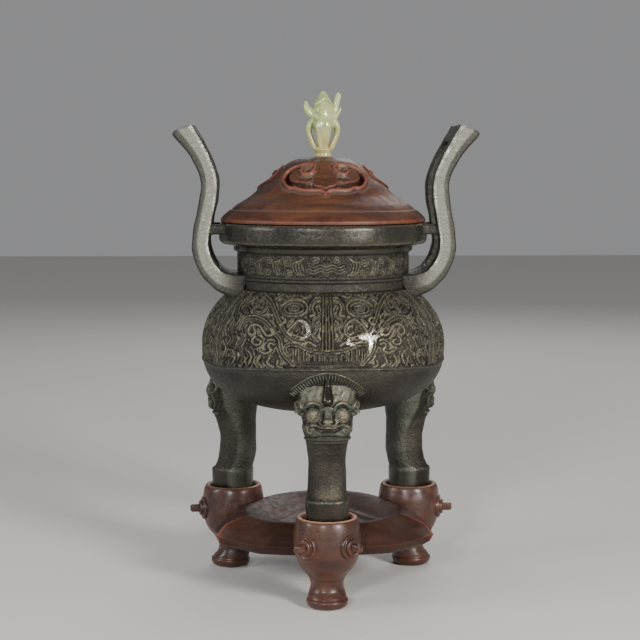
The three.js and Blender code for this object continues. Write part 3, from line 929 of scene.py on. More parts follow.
@dataclass(frozen=True)
class JadeFinish:
    """Pale celadon jade, warmer towards its foot, with soft clouds inside."""

    name: str
    pale: Colour = (0.4, 0.42, 0.2)
    green: Colour = (0.26, 0.31, 0.12)
    amber: Colour = (0.4, 0.29, 0.1)
    warm_from: float = 0.322
    warm_to: float = 0.304

    def build(self) -> Material:
        """Makes the material.

        Returns:
            The material.
        """
        material, graph, shader = new_material(self.name)
        clouds = graph.group(cloud_group(), Broad=150.0, Fine=700.0).outputs
        height = graph.add("ShaderNodeSeparateXYZ", {0: graph.place()}).outputs["Z"]
        warm = graph.step(height, self.warm_from, self.warm_to)
        warm = graph.times(warm, graph.between(clouds["Blotches"], 0.45, 1.0))
        colour = graph.blend(clouds["Blotches"], self.pale, self.green)
        colour = graph.blend(graph.times(warm, 0.75), colour, self.amber)
        graph.feed(shader.inputs["Base Color"], colour)
        graph.feed(shader.inputs["Roughness"], graph.between(clouds["Specks"], 0.14, 0.26))
        shader.inputs["Subsurface Weight"].default_value = 0.35
        shader.inputs["Subsurface Radius"].default_value = (1.0, 1.0, 0.6)
        shader.inputs["Subsurface Scale"].default_value = 2.5 * MM
        shader.inputs["Coat Weight"].default_value = 0.4
        shader.inputs["Coat Roughness"].default_value = 0.08
        graph.bump(shader, clouds["Blotches"], 0.1)
        return material


# Pieces that repeat, made with Geometry Nodes


def geometry_tree(name: str, **inputs: str) -> tuple[Graph, Node]:
    """Starts a Geometry Nodes tree.

    Args:
        name: Its name.
        inputs: Kind of each input after the geometry, by its label.

    Returns:
        The graph and its input node.
    """
    tree = bpy.data.node_groups.new(name, "GeometryNodeTree")
    for label, kind in {"Geometry": "Geometry", **inputs}.items():
        tree.interface.new_socket(label, in_out="INPUT", socket_type=f"NodeSocket{kind}")
    tree.interface.new_socket("Geometry", in_out="OUTPUT", socket_type="NodeSocketGeometry")
    graph = Graph(tree)
    return graph, graph.add("NodeGroupInput")


def end_tree(
    graph: Graph, given: Node, placing: dict[str, object], beside: tuple[str, object]
) -> Tree:
    """Sets an instance on each point, facing outwards, and ends a tree with plain geometry.

    Args:
        graph: The tree's graph.
        given: Its input node.
        placing: The points, the instance and its scale.
        beside: The instance's second axis, and the direction that this axis follows.

    Returns:
        The tree.
    """
    outward = graph.add(
        "GeometryNodeInputNamedAttribute", {"Name": "outward"}, data_type="FLOAT_VECTOR"
    )
    turn = graph.add(
        "FunctionNodeAxesToRotation",
        {"Primary Axis": outward.outputs[0], "Secondary Axis": beside[1]},
        primary_axis="Z",
        secondary_axis=beside[0],
    )
    placed = graph.add("GeometryNodeInstanceOnPoints", {**placing, "Rotation": turn.outputs[0]})
    real = graph.add("GeometryNodeRealizeInstances", {0: placed.outputs[0]})
    smooth = graph.add("GeometryNodeSetShadeSmooth", {0: real.outputs[0]})
    dyed = graph.add(
        "GeometryNodeSetMaterial", {0: smooth.outputs[0], "Material": given.outputs["Material"]}
    )
    graph.add("NodeGroupOutput", {0: dyed.outputs[0]})
    return graph.tree


def comb_tree() -> Tree:
    """Small rounded teeth set side by side along paths, standing out of the surface.

    Returns:
        The tree.
    """
    graph, given = geometry_tree(
        "comb_along_path",
        Count="Int", Width="Float", Length="Float", Rise="Float", Material="Material",
    )
    source = given.outputs
    curve = graph.add("GeometryNodeMeshToCurve", {0: source["Geometry"]}).outputs[0]
    spaced = graph.add("GeometryNodeResampleCurve", {0: curve, "Count": source["Count"]})
    tangent = graph.add("GeometryNodeInputTangent").outputs[0]
    tooth = graph.add("GeometryNodeMeshUVSphere", {"Segments": 8, "Rings": 6, "Radius": 1.0})
    size = graph.add(
        "ShaderNodeCombineXYZ",
        {"X": source["Width"], "Y": source["Length"], "Z": source["Rise"]},
    )
    placing = {"Points": spaced.outputs[0], "Instance": tooth.outputs[0], "Scale": size.outputs[0]}
    return end_tree(graph, given, placing, ("X", tangent))


def studs_tree() -> Tree:
    """Copies of one carved boss set on points, each facing the way that its point does.

    Returns:
        The tree.
    """
    graph, given = geometry_tree(
        "bosses_on_points", Boss="Object", Size="Float", Material="Material"
    )
    source = given.outputs
    boss = graph.add("GeometryNodeObjectInfo", {"Object": source["Boss"]}).outputs["Geometry"]
    placing = {"Points": source["Geometry"], "Instance": boss, "Scale": source["Size"]}
    return end_tree(graph, given, placing, ("Y", (0.0, 0.0, 1.0)))


def shaped(piece: Piece) -> Mesh:
    """A plain mesh of a piece as its modifiers shape it."""
    graph = bpy.context.evaluated_depsgraph_get()
    return bpy.data.meshes.new_from_object(piece.evaluated_get(graph), depsgraph=graph)


def grown(
    name: str,
    host: Piece,
    tree: Tree,
    values: dict[str, object],
    sharp: float = CRISP,
) -> Piece:
    """Runs a Geometry Nodes tree on a host and keeps the result as a plain mesh.

    Args:
        name: The new piece's name.
        host: The object whose mesh the tree starts from, which is then removed.
        tree: The tree.
        values: A value for each of its named inputs.
        sharp: Edges that turn by more degrees than this stay crisp.

    Returns:
        The new piece.
    """
    modifier = host.modifiers.new("grow", "NODES")
    modifier.node_group = tree
    for item in tree.interface.items_tree:
        if item.in_out == "INPUT" and item.name in values:
            modifier[item.identifier] = values[item.name]
    mesh = shaped(host)
    host.modifiers.remove(modifier)
    bpy.data.objects.remove(host)
    mesh.name = name
    return finish_mesh(mesh, name, sharp)


def path_host(paths: Sequence[Array], outward: Sequence[Array]) -> Piece:
    """A helper object that holds paths, or single points, with their outward directions.

    Args:
        paths: The points of each path.
        outward: The direction away from the surface at each of them.

    Returns:
        The helper.
    """
    mesh = bpy.data.meshes.new("paths")
    edges, start = [], 0
    for path in paths:
        edges += [(start + i, start + i + 1) for i in range(len(path) - 1)]
        start += len(path)
    points = np.vstack(paths) * MM + np.array(AXIS)
    mesh.from_pydata(points.tolist(), edges, [])
    attribute = mesh.attributes.new("outward", "FLOAT_VECTOR", "POINT")
    attribute.data.foreach_set("vector", np.vstack(outward).astype(np.float32).ravel())
    return linked("paths", mesh)


def mark_all(piece: Piece, **marks: float) -> None:
    """Gives every point of a piece the same marks."""
    for name, value in marks.items():
        attribute = piece.data.attributes.new(name, "FLOAT", "POINT")
        attribute.data.foreach_set("value", [value] * len(piece.data.vertices))


# The bronze vessel


@dataclass
class Bowl:
    """The round bowl with its three panels of relief, up to the foot of the neck."""

    belly_r: float = 84.7
    belly_z: float = 168.0
    drop: float = 46.0
    squareness: float = 2.7
    rise: float = 57.0
    shoulder_z: float = 206.4
    groove_r: float = 60.0
    seam_z: float = 208.0
    wall: float = 4.5
    relief_from: float = 154.5
    relief_depth: float = 1.05
    fill_pitch: float = 2.7
    line_z: float = 159.0
    line_dip: float = 3.4
    mouth_r: float = 55.0
    floor_z: float = 126.5
    around: int = 900
    under_rows: int = 44
    relief_rows: int = 84
    hollow_rows: int = 30

    def radius(self, z: Array | float) -> Array:
        """The bowl's outside radius.

        Args:
            z: Heights at which it is read.

        Returns:
            The radius at each of them.
        """
        z = np.asarray(z, float)
        over = np.clip((z - self.belly_z) / self.rise, 0, 1)
        under = np.clip((self.belly_z - z) / self.drop, 0, 1)
        power = self.squareness
        lower = self.belly_r * (1 - under**power) ** (1 / power)
        return np.where(z >= self.belly_z, self.belly_r * np.sqrt(1 - over**2), lower)

    def point(self, across: Array, z: Array, lift: float = 0.0) -> Array:
        """Points on the bowl's front.

        Args:
            across: Distance from the front line, along X.
            z: Height.
            lift: Distance off the surface.

        Returns:
            The points, one row each.
        """
        radius = self.radius(z)
        angle = np.arcsin(np.clip(across / radius, -1, 1))
        slope = self.radius(z + 0.5) - self.radius(z - 0.5)
        size = np.hypot(1, slope)
        reach = radius + lift / size
        return np.column_stack(
            [reach * np.sin(angle), -reach * np.cos(angle), z - lift * slope / size]
        )

    def outward(self, across: Array, z: Array) -> Array:
        """Unit directions away from the bowl's front."""
        return self.point(across, z, 1.0) - self.point(across, z, 0.0)

    def strokes(self) -> list[tuple[Array, float, float, float]]:
        """The mask and scrolls of half a panel.

        Returns:
            Path, half width, rise and groove of each band; paths are in degrees and millimetres.
        """
        wide, thin = (1.55, 1.2, 0.75), (0.95, 1.05, 0.0)
        bands = [
            ([(42, 206), (36, 203.5), (31.5, 200.6), (27.5, 196), (24.5, 191), (21.5, 186),
              (18.5, 181), (14.5, 178), (10.4, 177.2)], wide),
            ([(45.4, 183.5), (45.2, 187.5), (42.5, 190.6), (37.5, 191.4), (31.5, 189.2),
              (28, 186), (25, 182), (21.9, 178), (20.9, 172), (18.6, 167), (15.4, 162)], wide),
            ([(18.2, 168.6), (19.4, 172.4), (17.4, 175.2), (13.5, 175), (10.5, 173.2),
              (6.5, 171.2), (0, 170.2)], wide),
            ([(36.6, 184.6), (35, 182.4), (36.4, 180.2), (38.8, 181.4), (39, 184.8),
              (36.4, 187), (33, 185.8), (30.6, 182.6), (28.4, 180.4), (26, 181.2),
              (25.6, 183.6), (27.4, 184.4)], (1.05, 1.1, 0.0)),
            ([(33.4, 177.6), (31.4, 176.6), (32, 174.4), (34.6, 174), (36.2, 176.6),
              (34.6, 179.4)], thin),
            ([(24.6, 174.8), (26.4, 175.6), (27.4, 173.4), (25.8, 171), (28.6, 168.6),
              (31.6, 170.2)], thin),
            ([(38.6, 204.8), (40.2, 200), (39.4, 195.4), (35.6, 194.2), (33.4, 197),
              (34.4, 200.2)], (1.1, 1.1, 0.4)),
            ([(45.4, 205.4), (48, 201), (47.4, 196), (43.8, 194)], (1.1, 1.0, 0.4)),
            ([(52, 204.8), (53.8, 199), (52.2, 193), (49.2, 190)], (1.1, 1.0, 0.4)),
            ([(55.4, 196.5), (54.2, 190), (55.6, 184), (53.4, 178.6)], thin),
            ([(49.6, 187), (50.8, 181.8), (48, 177.4), (49.8, 172)], (1.0, 1.0, 0.3)),
            ([(43.4, 181), (41.8, 176.8), (44, 172), (41.2, 166.6), (42.6, 161)],
             (1.0, 1.0, 0.3)),
            ([(55, 174.6), (52.4, 170), (54.8, 163.6)], thin),
            ([(47.6, 169), (46, 164.4), (48.2, 159.8)], thin),
            ([(38.2, 170), (36, 166), (37.6, 161)], thin),
            ([(31.4, 166.6), (33, 163), (30.6, 159.6)], thin),
            ([(26.6, 166), (27.8, 162.4), (25, 159.6)], thin),
            ([(22.6, 164), (23, 161), (20.6, 159.4)], thin),
            ([(3.8, 203), (6.6, 202), (7.6, 198), (6.2, 194.6), (8.6, 193.4)], thin),
            ([(4, 193.4), (6.4, 191.8), (6.8, 188.4), (5, 185.6), (6.6, 181.2), (4.6, 177.6)],
             (1.1, 1.1, 0.4)),
            ([(9.6, 206), (12.6, 204.4), (15.4, 206)], thin),
            ([(19.4, 206), (22.4, 204.4), (25.2, 206)], thin),
            ([(26.4, 204), (28.6, 201.4), (26.6, 199)], thin),
            ([(0, 163.0), (14.4, 163.2)], (0.55, 0.95, 0.0)),
            ([(0, 161.0), (19.6, 161.0)], (0.5, 0.85, 0.0)),
            ([(57.4, 157), (57.4, 206)], (1.0, 1.1, 0.4)),
            ([(13, 193.8), (10.6, 196.6), (11.2, 200.6), (15.6, 203.6), (21, 203.2),
              (25.4, 199.6)], thin),
            ([(5.6, 174.6), (8.6, 177), (10.2, 175.4)], thin),
            ([(22.6, 187.4), (20.6, 190.4), (22.8, 192.4)], thin),
        ]
        drawn = [(spline(path, 5), *style) for path, style in bands]
        eye = [(18.6, 183), (15.8, 188.4), (13.4, 190.9), (10.4, 189.6), (8.3, 186.2),
               (7.9, 182.4), (9.8, 180), (12.8, 180.2), (16, 181.8)]
        drawn.append((spline(eye, 5, closed=True), 0.85, 1.35, 0.0))
        for ring in ((7.4, 5.0), (5.2, 3.3), (2.8, 1.6)):
            angle = np.linspace(0, TAU, 26)
            oval = np.column_stack([17.5 + ring[0] * np.cos(angle), 198 + ring[1] * np.sin(angle)])
            drawn.append((oval, 0.62, 1.0, 0.0))
        for tooth in np.arange(1.3, 17.5, 2.35):
            top = float(np.interp(tooth, [0, 6.5, 10.5, 13.5, 18], [168, 169, 171, 172.6, 171]))
            drawn.append((np.array([(tooth, 164.6), (tooth, top)]), 0.72, 0.95, 0.0))
        for line in (0.75, 2.35):
            drawn.append((np.array([(line, 171.6), (line, 207)]), 0.6, 1.35, 0.0))
        return drawn

    def relief(self, angle: Array, z: Array) -> tuple[Array, Array]:
        """Heights of the cast relief.

        Args:
            angle: Angle from the front, in radians.
            z: Height.

        Returns:
            Height off the bowl, and that height as a share of the relief's depth.
        """
        turn = folded(angle)
        per_degree = math.radians(1) * self.belly_r
        work = Drawing(turn * self.belly_r, z, -self.relief_depth)
        for path, half_width, rise, groove in self.strokes():
            work.band(path * np.array([per_degree, 1.0]), half_width, rise, groove)
        pupil = curl((14.6 * per_degree, 185.2), 2.6, 200, -1.6)
        work.band(pupil, 0.45, 1.25)
        work.fill(self.fill_pitch, 1.0, 7)
        above = z - self.line_z + self.line_dip * (np.degrees(turn) / 60) ** 1.6
        inside = ramp(0.9, 1.7, above) * (1 - ramp(206.2, 206.8, z))
        line = 0.8 * bell(above, 0, 0.75) * (1 - inside)
        return work.height * inside + line, work.share(1.05) * inside + line

    def build(self, finish: Material) -> Piece:
        """Makes the bowl, hollow, as one closed wall.

        Args:
            finish: Its material.

        Returns:
            The piece.
        """
        coarse = self.around // 3
        turn = np.radians(np.linspace(90, 0, 30)[1:])
        power = 2 / self.squareness
        bottom_z = self.belly_z - self.drop
        lower = np.column_stack(
            [
                self.belly_r * np.cos(turn) ** power,
                self.belly_z - self.drop * np.sin(turn) ** power,
            ]
        )
        lower = evenly(np.vstack([[2.0, bottom_z], lower]), self.under_rows)
        under = turned_grid(lower[lower[:, 1] < self.relief_from - 1], coarse)
        under = raised(under, 0.16 * unevenness(under, 26, 3))
        heights = np.linspace(self.relief_from, self.shoulder_z, 400)
        outline = np.column_stack([self.radius(heights), heights])
        belly = turned_grid(evenly(outline, self.relief_rows), self.around)
        angle, z = angles_of(belly), belly[..., 2]
        height, share = self.relief(angle, z)
        bare = self.bare_patch(angle, z)
        height += (0.12 - height) * bare * ramp(0.2, 1.0, bare)
        height += 0.12 * unevenness(belly, 22, 5)
        marks = {"relief": share, "worn": 0.62 * bare, "polish": 0.7 * bare}
        ring = rounded([(61.6, 207.0), (self.groove_r, 207.4), (self.groove_r, self.seam_z)], 0.4)
        inside = [(self.mouth_r, self.seam_z), (self.mouth_r, 204)]
        for at in (194, 186, 177, 168, 158, 148, 140, 131):
            inside.append((float(self.radius(at)) - self.wall, max(at, 131.5)))
        inside += [(44, 127.6), (20, self.floor_z), (2, self.floor_z)]
        hollow = turned_grid(evenly(rounded(inside, 2.0), self.hollow_rows), self.around // 6)
        skin = Skin()
        first, last = skin.add_chain(
            (under, {"relief": -0.4}),
            (raised(belly, height), marks),
            (turned_grid(ring, coarse), {"relief": -0.5}),
            (hollow, {}),
        )
        skin.cap(first, np.array([0, 0, bottom_z]))
        skin.cap(last, np.array([0, 0, self.floor_z]))
        return dressed(skin.to_object("bowl"), finish, "bronze_censer")

    def bare_patch(self, angle: Array, z: Array) -> Array:
        """Where handling has smoothed and bared the metal beside the front panel's eyes.

        Args:
            angle: Angle from the front, in radians.
            z: Height.

        Returns:
            How bare each point is, from 0 to 1.
        """
        turn = np.degrees((angle + math.pi) % TAU - math.pi)
        flat = np.array([math.radians(1) * self.belly_r, 1.0])
        right = [(14, 180.6), (17, 181.3), (19.6, 182.4), (24, 186.4), (22.2, 183.4), (20.6, 181),
                 (24, 181), (28.6, 182.2), (24.4, 179), (21.6, 177), (20.4, 173.6), (19.2, 169.4),
                 (18.4, 172.2), (18.8, 176.2), (17, 177.6), (14.4, 178.2)]
        below = [(8, 174.8), (8.8, 179.6), (10, 179.4), (9.6, 176.4), (12.6, 175.6), (12, 174)]
        left = [(-15.4, 190.2), (-12.6, 191), (-9.4, 188.8), (-7.8, 184), (-9.2, 180), (-12, 178.4),
                (-9.9, 182), (-10.2, 186.6), (-12.8, 189.4)]
        share = np.zeros(z.shape)
        for patch in (right, below, left):
            inside = edge_distance(turn * flat[0], z, np.array(patch) * flat)
            share = np.maximum(share, ramp(-0.4, 0.4, inside))
        return share


@dataclass
class Neck:
    """The neck with its band of fine relief, and the wide rim above it."""

    seam_z: float = 208.0
    groove_r: float = 60.0
    radius: float = 59.5
    band: tuple[float, float] = (216.4, 231.0)
    mouth_r: float = 58.0
    throat_r: float = 55.0
    rim_r: float = 72.3
    top_z: float = 252.0
    around: int = 660
    band_rows: int = 31
    rim_rows: int = 72

    def relief(self, angle: Array, z: Array) -> tuple[Array, Array]:
        """Heights of the neck band's cloud scrolls.

        Args:
            angle: Angle from the front, in radians.
            z: Height.

        Returns:
            Heights off the neck, and the marks that go with them.
        """
        work = Drawing(folded(angle) * self.radius, z, -0.5)
        style = {"half_width": 0.6, "rise": 0.75}
        for shift in (0.0, 2.0, 4.0):
            wave = [(0, 220 + shift), (4, 221.4 + shift), (8, 219.6 + shift), (12, 221 + shift)]
            work.band(spline(wave, 6), **style)
        for start in (15.0, 30.0, 46.0):
            for step in range(3):
                at = start + 2.1 * step
                bow = [(at, 229.8 - step), (at + 3.4, 226), (at + 2.8, 221), (at - 0.6, 218)]
                work.band(spline(bow, 6), **style)
        for centre, radius, turns in (
            ((7.0, 228.2), 2.6, 1.4),
            ((26.5, 226.8), 3.1, -1.6),
            ((25.2, 219.6), 2.5, 1.5),
            ((41.0, 227.4), 2.9, 1.6),
            ((41.5, 220.4), 3.0, -1.5),
            ((57.0, 226.6), 3.2, -1.6),
            ((57.6, 219.8), 2.5, 1.4),
        ):
            work.band(curl(centre, radius, 40, turns), **style)
        work.fill(1.9, 0.62, 13)
        edges = ramp(self.band[0], self.band[0] + 0.6, z)
        edges *= 1 - ramp(self.band[1] - 0.6, self.band[1], z)
        return work.height * edges, work.share(0.8) * edges

    def build(self, finish: Material) -> Piece:
        """Makes the neck and rim as one closed ring of wall.

        Args:
            finish: Its material.

        Returns:
            The piece.
        """
        coarse = self.around // 2
        foot = rounded(
            [(self.groove_r, self.seam_z), (self.groove_r, 212.8), (61.4, 213.4), (61.5, 214.8),
             (59.9, 215.6), (self.radius, 216.2)],
            0.5,
        )
        low = turned_grid(evenly(foot, 22), coarse)
        low_marks = {"relief": np.where(low[..., 2] < 213, -0.25, 0.25)}
        z = np.linspace(*self.band, self.band_rows)
        wall = turned_grid(np.column_stack([np.full(z.shape, self.radius), z]), self.around)
        height, share = self.relief(angles_of(wall), wall[..., 2])
        rim = rounded(
            [(self.radius, 231.2), (61.0, 231.9), (62.2, 233.0), (62.4, 234.4), (61.8, 235.3),
             (65.0, 236.6), (70.4, 237.6), (72.1, 239.2), (self.rim_r, 241.4), (self.rim_r, 249.8),
             (71.4, 251.5), (69.5, self.top_z), (60.2, self.top_z), (self.mouth_r, 250.8),
             (self.mouth_r, 240), (55.2, 234), (self.throat_r, 214), (self.throat_r, self.seam_z)],
            0.9,
        )
        upper = turned_grid(evenly(rim, self.rim_rows), coarse)
        outer = upper[..., 2] > 232
        upper = raised(upper, 0.14 * outer * unevenness(upper, 18, 11))
        lip = bell(upper[..., 2], 239.0, 1.1) + bell(upper[..., 2], 251.0, 1.0)
        marks = {"relief": np.clip(0.26 + 0.6 * lip, 0, 0.8) * outer, "polish": 1.0 * outer}
        skin = Skin()
        band = (raised(wall, height), {"relief": share})
        first, last = skin.add_chain((low, low_marks), band, (upper, marks))
        skin.bridge(last, first)
        return dressed(skin.to_object("neck_and_rim"), finish)


@dataclass
class Handle:
    """A loop handle: a bent plate with an opening, and two struts to the rim."""

    side: float
    lean: float
    outer: Line = (
        (63.8, 198.6), (74.5, 206.9), (84.3, 217.5), (89.3, 230), (90, 240), (87.7, 255),
        (84.9, 270), (84.6, 280), (88.3, 290.5), (95, 301), (105.5, 313),
    )
    inner: Line = (
        (57, 216.4), (63, 216.6), (69.3, 219.2), (74.3, 224.8), (77.6, 232), (78.5, 240),
        (76.4, 253), (73.5, 269), (73.3, 281.4), (77.9, 295.4), (84.5, 308.1), (91, 319.5),
    )
    half_width: float = 28.0
    leg: float = 12.0
    bar: float = 14.0
    hole_corner: float = 6.0
    edge_corner: float = 2.0
    inner_rounding: float = 1.8
    outer_rounding: float = 4.0
    root_reach: float = 14.0
    opening_z: float = 216.0
    rim_r: float = 72.3
    strut_z: float = 247.6
    strut_sink: float = 2.5
    strut_half: tuple[float, float] = (3.3, 3.4)
    strut_around: int = 24
    lean_from: float = 240.0
    lean_to: float = 320.0

    def plate(self) -> tuple[Array, Array, Array]:
        """The plate's bent middle line.

        Returns:
            Length along it, its points, and half the plate's thickness as a vector at each.
        """
        outer = evenly(spline(self.outer, 10), 161)
        inner = evenly(spline(self.inner, 10), 161)
        middle, half = (outer + inner) / 2, (outer - inner) / 2
        return lengths(middle), middle, half

    @staticmethod
    def frame_line(low: float, high: float, reach: float, corner: float) -> Array:
        """A rectangle with round corners, read the same way for every size.

        Args:
            low: Length along the plate at its lower side.
            high: Length along the plate at its upper side.
            reach: Half its width.
            corner: Radius of its corners.

        Returns:
            Its points: along the plate and across it.
        """
        centres = [
            (low + corner, -reach + corner), (high - corner, -reach + corner),
            (high - corner, reach - corner), (low + corner, reach - corner),
        ]
        starts = (180, 270, 0, 90)
        corners = []
        for (along, across), start in zip(centres, starts):
            turn = np.radians(np.linspace(start, start + 90, 9))
            corners.append(
                np.column_stack([along + corner * np.cos(turn), across + corner * np.sin(turn)])
            )
        counts = (150, 60, 150, 60)
        points = []
        for i, count in enumerate(counts):
            share = np.linspace(0, 1, count, endpoint=False)[1:, None]
            start, end = corners[i][-1], corners[(i + 1) % 4][0]
            points += [corners[i], start + share * (end - start)]
        return np.vstack(points)

    def build(self, finish: Material) -> Piece:
        """Makes one handle with its struts.

        Args:
            finish: Its material.

        Returns:
            The piece.
        """
        along, middle, half = self.plate()
        thickness = 2 * np.linalg.norm(half, axis=1)
        low = float(np.interp(self.opening_z, middle[:, 1], along))
        reach = self.half_width - self.leg
        hole = self.frame_line(low, along[-1] - self.bar, reach, self.hole_corner)
        edge = self.frame_line(0.0, along[-1], self.half_width, self.edge_corner)
        width = np.linalg.norm(edge - hole, axis=1)
        deep = np.interp((edge[:, 0] + hole[:, 0]) / 2, along, thickness)
        section, pale, worn = self.section()
        shape = np.empty((len(edge), len(section), 3))
        for k, (at_width, off_width, at_depth, off_depth) in enumerate(section):
            share = (at_width * width + off_width) / width
            place = hole + share[:, None] * (edge - hole)
            lift = (at_depth * deep / 2 + off_depth) / (deep / 2)
            centre = np.column_stack([np.interp(place[:, 0], along, c) for c in middle.T])
            push = np.column_stack([np.interp(place[:, 0], along, c) for c in half.T])
            spot = centre + lift[:, None] * push
            hug = 1 - ramp(0, self.root_reach, place[:, 0])
            inward = spot[:, 0] - np.sqrt(spot[:, 0] ** 2 - place[:, 1] ** 2)
            shape[:, k] = np.column_stack([spot[:, 0] - hug * inward, place[:, 1], spot[:, 1]])
        shape[..., 0] += self.lean * ramp(self.lean_from, self.lean_to, shape[..., 2])
        shape = raised(shape, 0.22 * unevenness(shape, 14, 21))
        shape[..., 0] *= self.side
        tip = ramp(312, 316, shape[..., 2] + 0.5 * (np.abs(shape[..., 0]) - 98))
        skin = Skin()
        clear = ramp(58, 76, np.abs(shape[..., 0]))
        crisp = worn * clear * (0.8 + 0.2 * unevenness(shape, 9, 4))
        marks = {
            "pale": pale * clear,
            "relief": np.clip(crisp + 0.4 * tip, 0, 1) - 0.2,
            "worn": 0.78 * crisp,
        }
        skin.add_grid(shape, marks, rows_meet=True)
        for across in (-reach - self.leg / 2, reach + self.leg / 2):
            self.add_strut(skin, across)
        name = "handle_right" if self.side > 0 else "handle_left"
        return dressed(skin.to_object(name), finish)

    def section(self) -> tuple[list[tuple[float, float, float, float]], Array, Array]:
        """The plate's cross-section between the opening and the outer edge.

        Returns:
            Share of the width and offset, share of half the depth and offset, for each point;
            how pale each point is; and how worn it is.
        """
        near, far = self.inner_rounding, self.outer_rounding
        points, pale, worn = [], [], []

        def corner(width_at: float, depth_at: float, radius: float, turns: Array) -> None:
            """Adds a rounded corner.

            Args:
                width_at: Share of the width at which it lies.
                depth_at: Share of half the depth at which it lies.
                radius: Its radius.
                turns: Angles of its points.
            """
            for turn in turns:
                back, out = radius * (1 - math.sin(turn)), radius * (1 - math.cos(turn))
                side = 1 if width_at == 0 else -1
                points.append((width_at, side * back, depth_at, -depth_at * out))
                facing = width_at == 1 and turn > 0.9
                pale.append((0.75 if depth_at < 0 else 0.2) * facing)
                worn.append(1.0 * (facing and depth_at < 0))

        def flat(width_at: float, depth_at: float | None, shares: Array) -> None:
            """Adds a straight side.

            Args:
                width_at: Share of the width at which it lies, where it runs through the depth.
                depth_at: Share of half the depth at which it lies, or None for such a side.
                shares: Places of its points along it.
            """
            for share in shares:
                if depth_at is None:
                    depth_off = -share * (far if share > 0 else near)
                    points.append((width_at, 0.0, float(share), depth_off))
                    pale.append(width_at * float(1 - 0.75 * ramp(0.45, 0.95, share)))
                    worn.append(width_at * 0.9 * (share < -0.75))
                else:
                    radius = far if depth_at > 0 else near
                    points.append((share, radius * (1 - 2 * share), depth_at, 0.0))
                    pale.append(0.0)
                    worn.append(0.0)

        quarter = np.radians(np.linspace(0, 90, 6))
        flat(0.0, -1.0, np.linspace(0.12, 0.88, 7))
        corner(1.0, -1.0, near, quarter)
        flat(1.0, None, np.linspace(-0.85, 0.85, 9))
        corner(1.0, 1.0, far, quarter[::-1])
        flat(0.0, 1.0, np.linspace(0.88, 0.12, 7))
        corner(0.0, 1.0, far, quarter)
        flat(0.0, None, np.linspace(0.8, -0.8, 6))
        corner(0.0, -1.0, near, quarter[::-1])
        return points, np.array(pale), np.array(worn)

    def add_strut(self, skin: Skin, across: float) -> None:
        """Adds one short bar between the rim and a leg of the loop.

        Args:
            skin: The handle's surface.
            across: Where it stands, along Y.
        """
        start = math.sqrt(self.rim_r**2 - across**2) - self.strut_sink
        reach, height = np.array(self.inner).T
        end = float(np.interp(self.strut_z, height, reach)) + self.strut_sink + 0.1 * self.lean
        around = self.strut_around
        flat, tall = squared(TAU * (np.arange(around) + 0.5) / around, 0.5)
        rings = []
        for share in np.linspace(0, 1, 14):
            flare = 1 + 0.35 * math.exp(-8 * share) + 0.35 * math.exp(-8 * (1 - share))
            x = np.full(around, self.side * (start + share * (end - start)))
            y = across + self.strut_half[0] * flare * flat
            z = self.strut_z + self.strut_half[1] * flare * tall
            rings.append(np.column_stack([x, y, z]))
        skin.add_solid(np.array(rings))


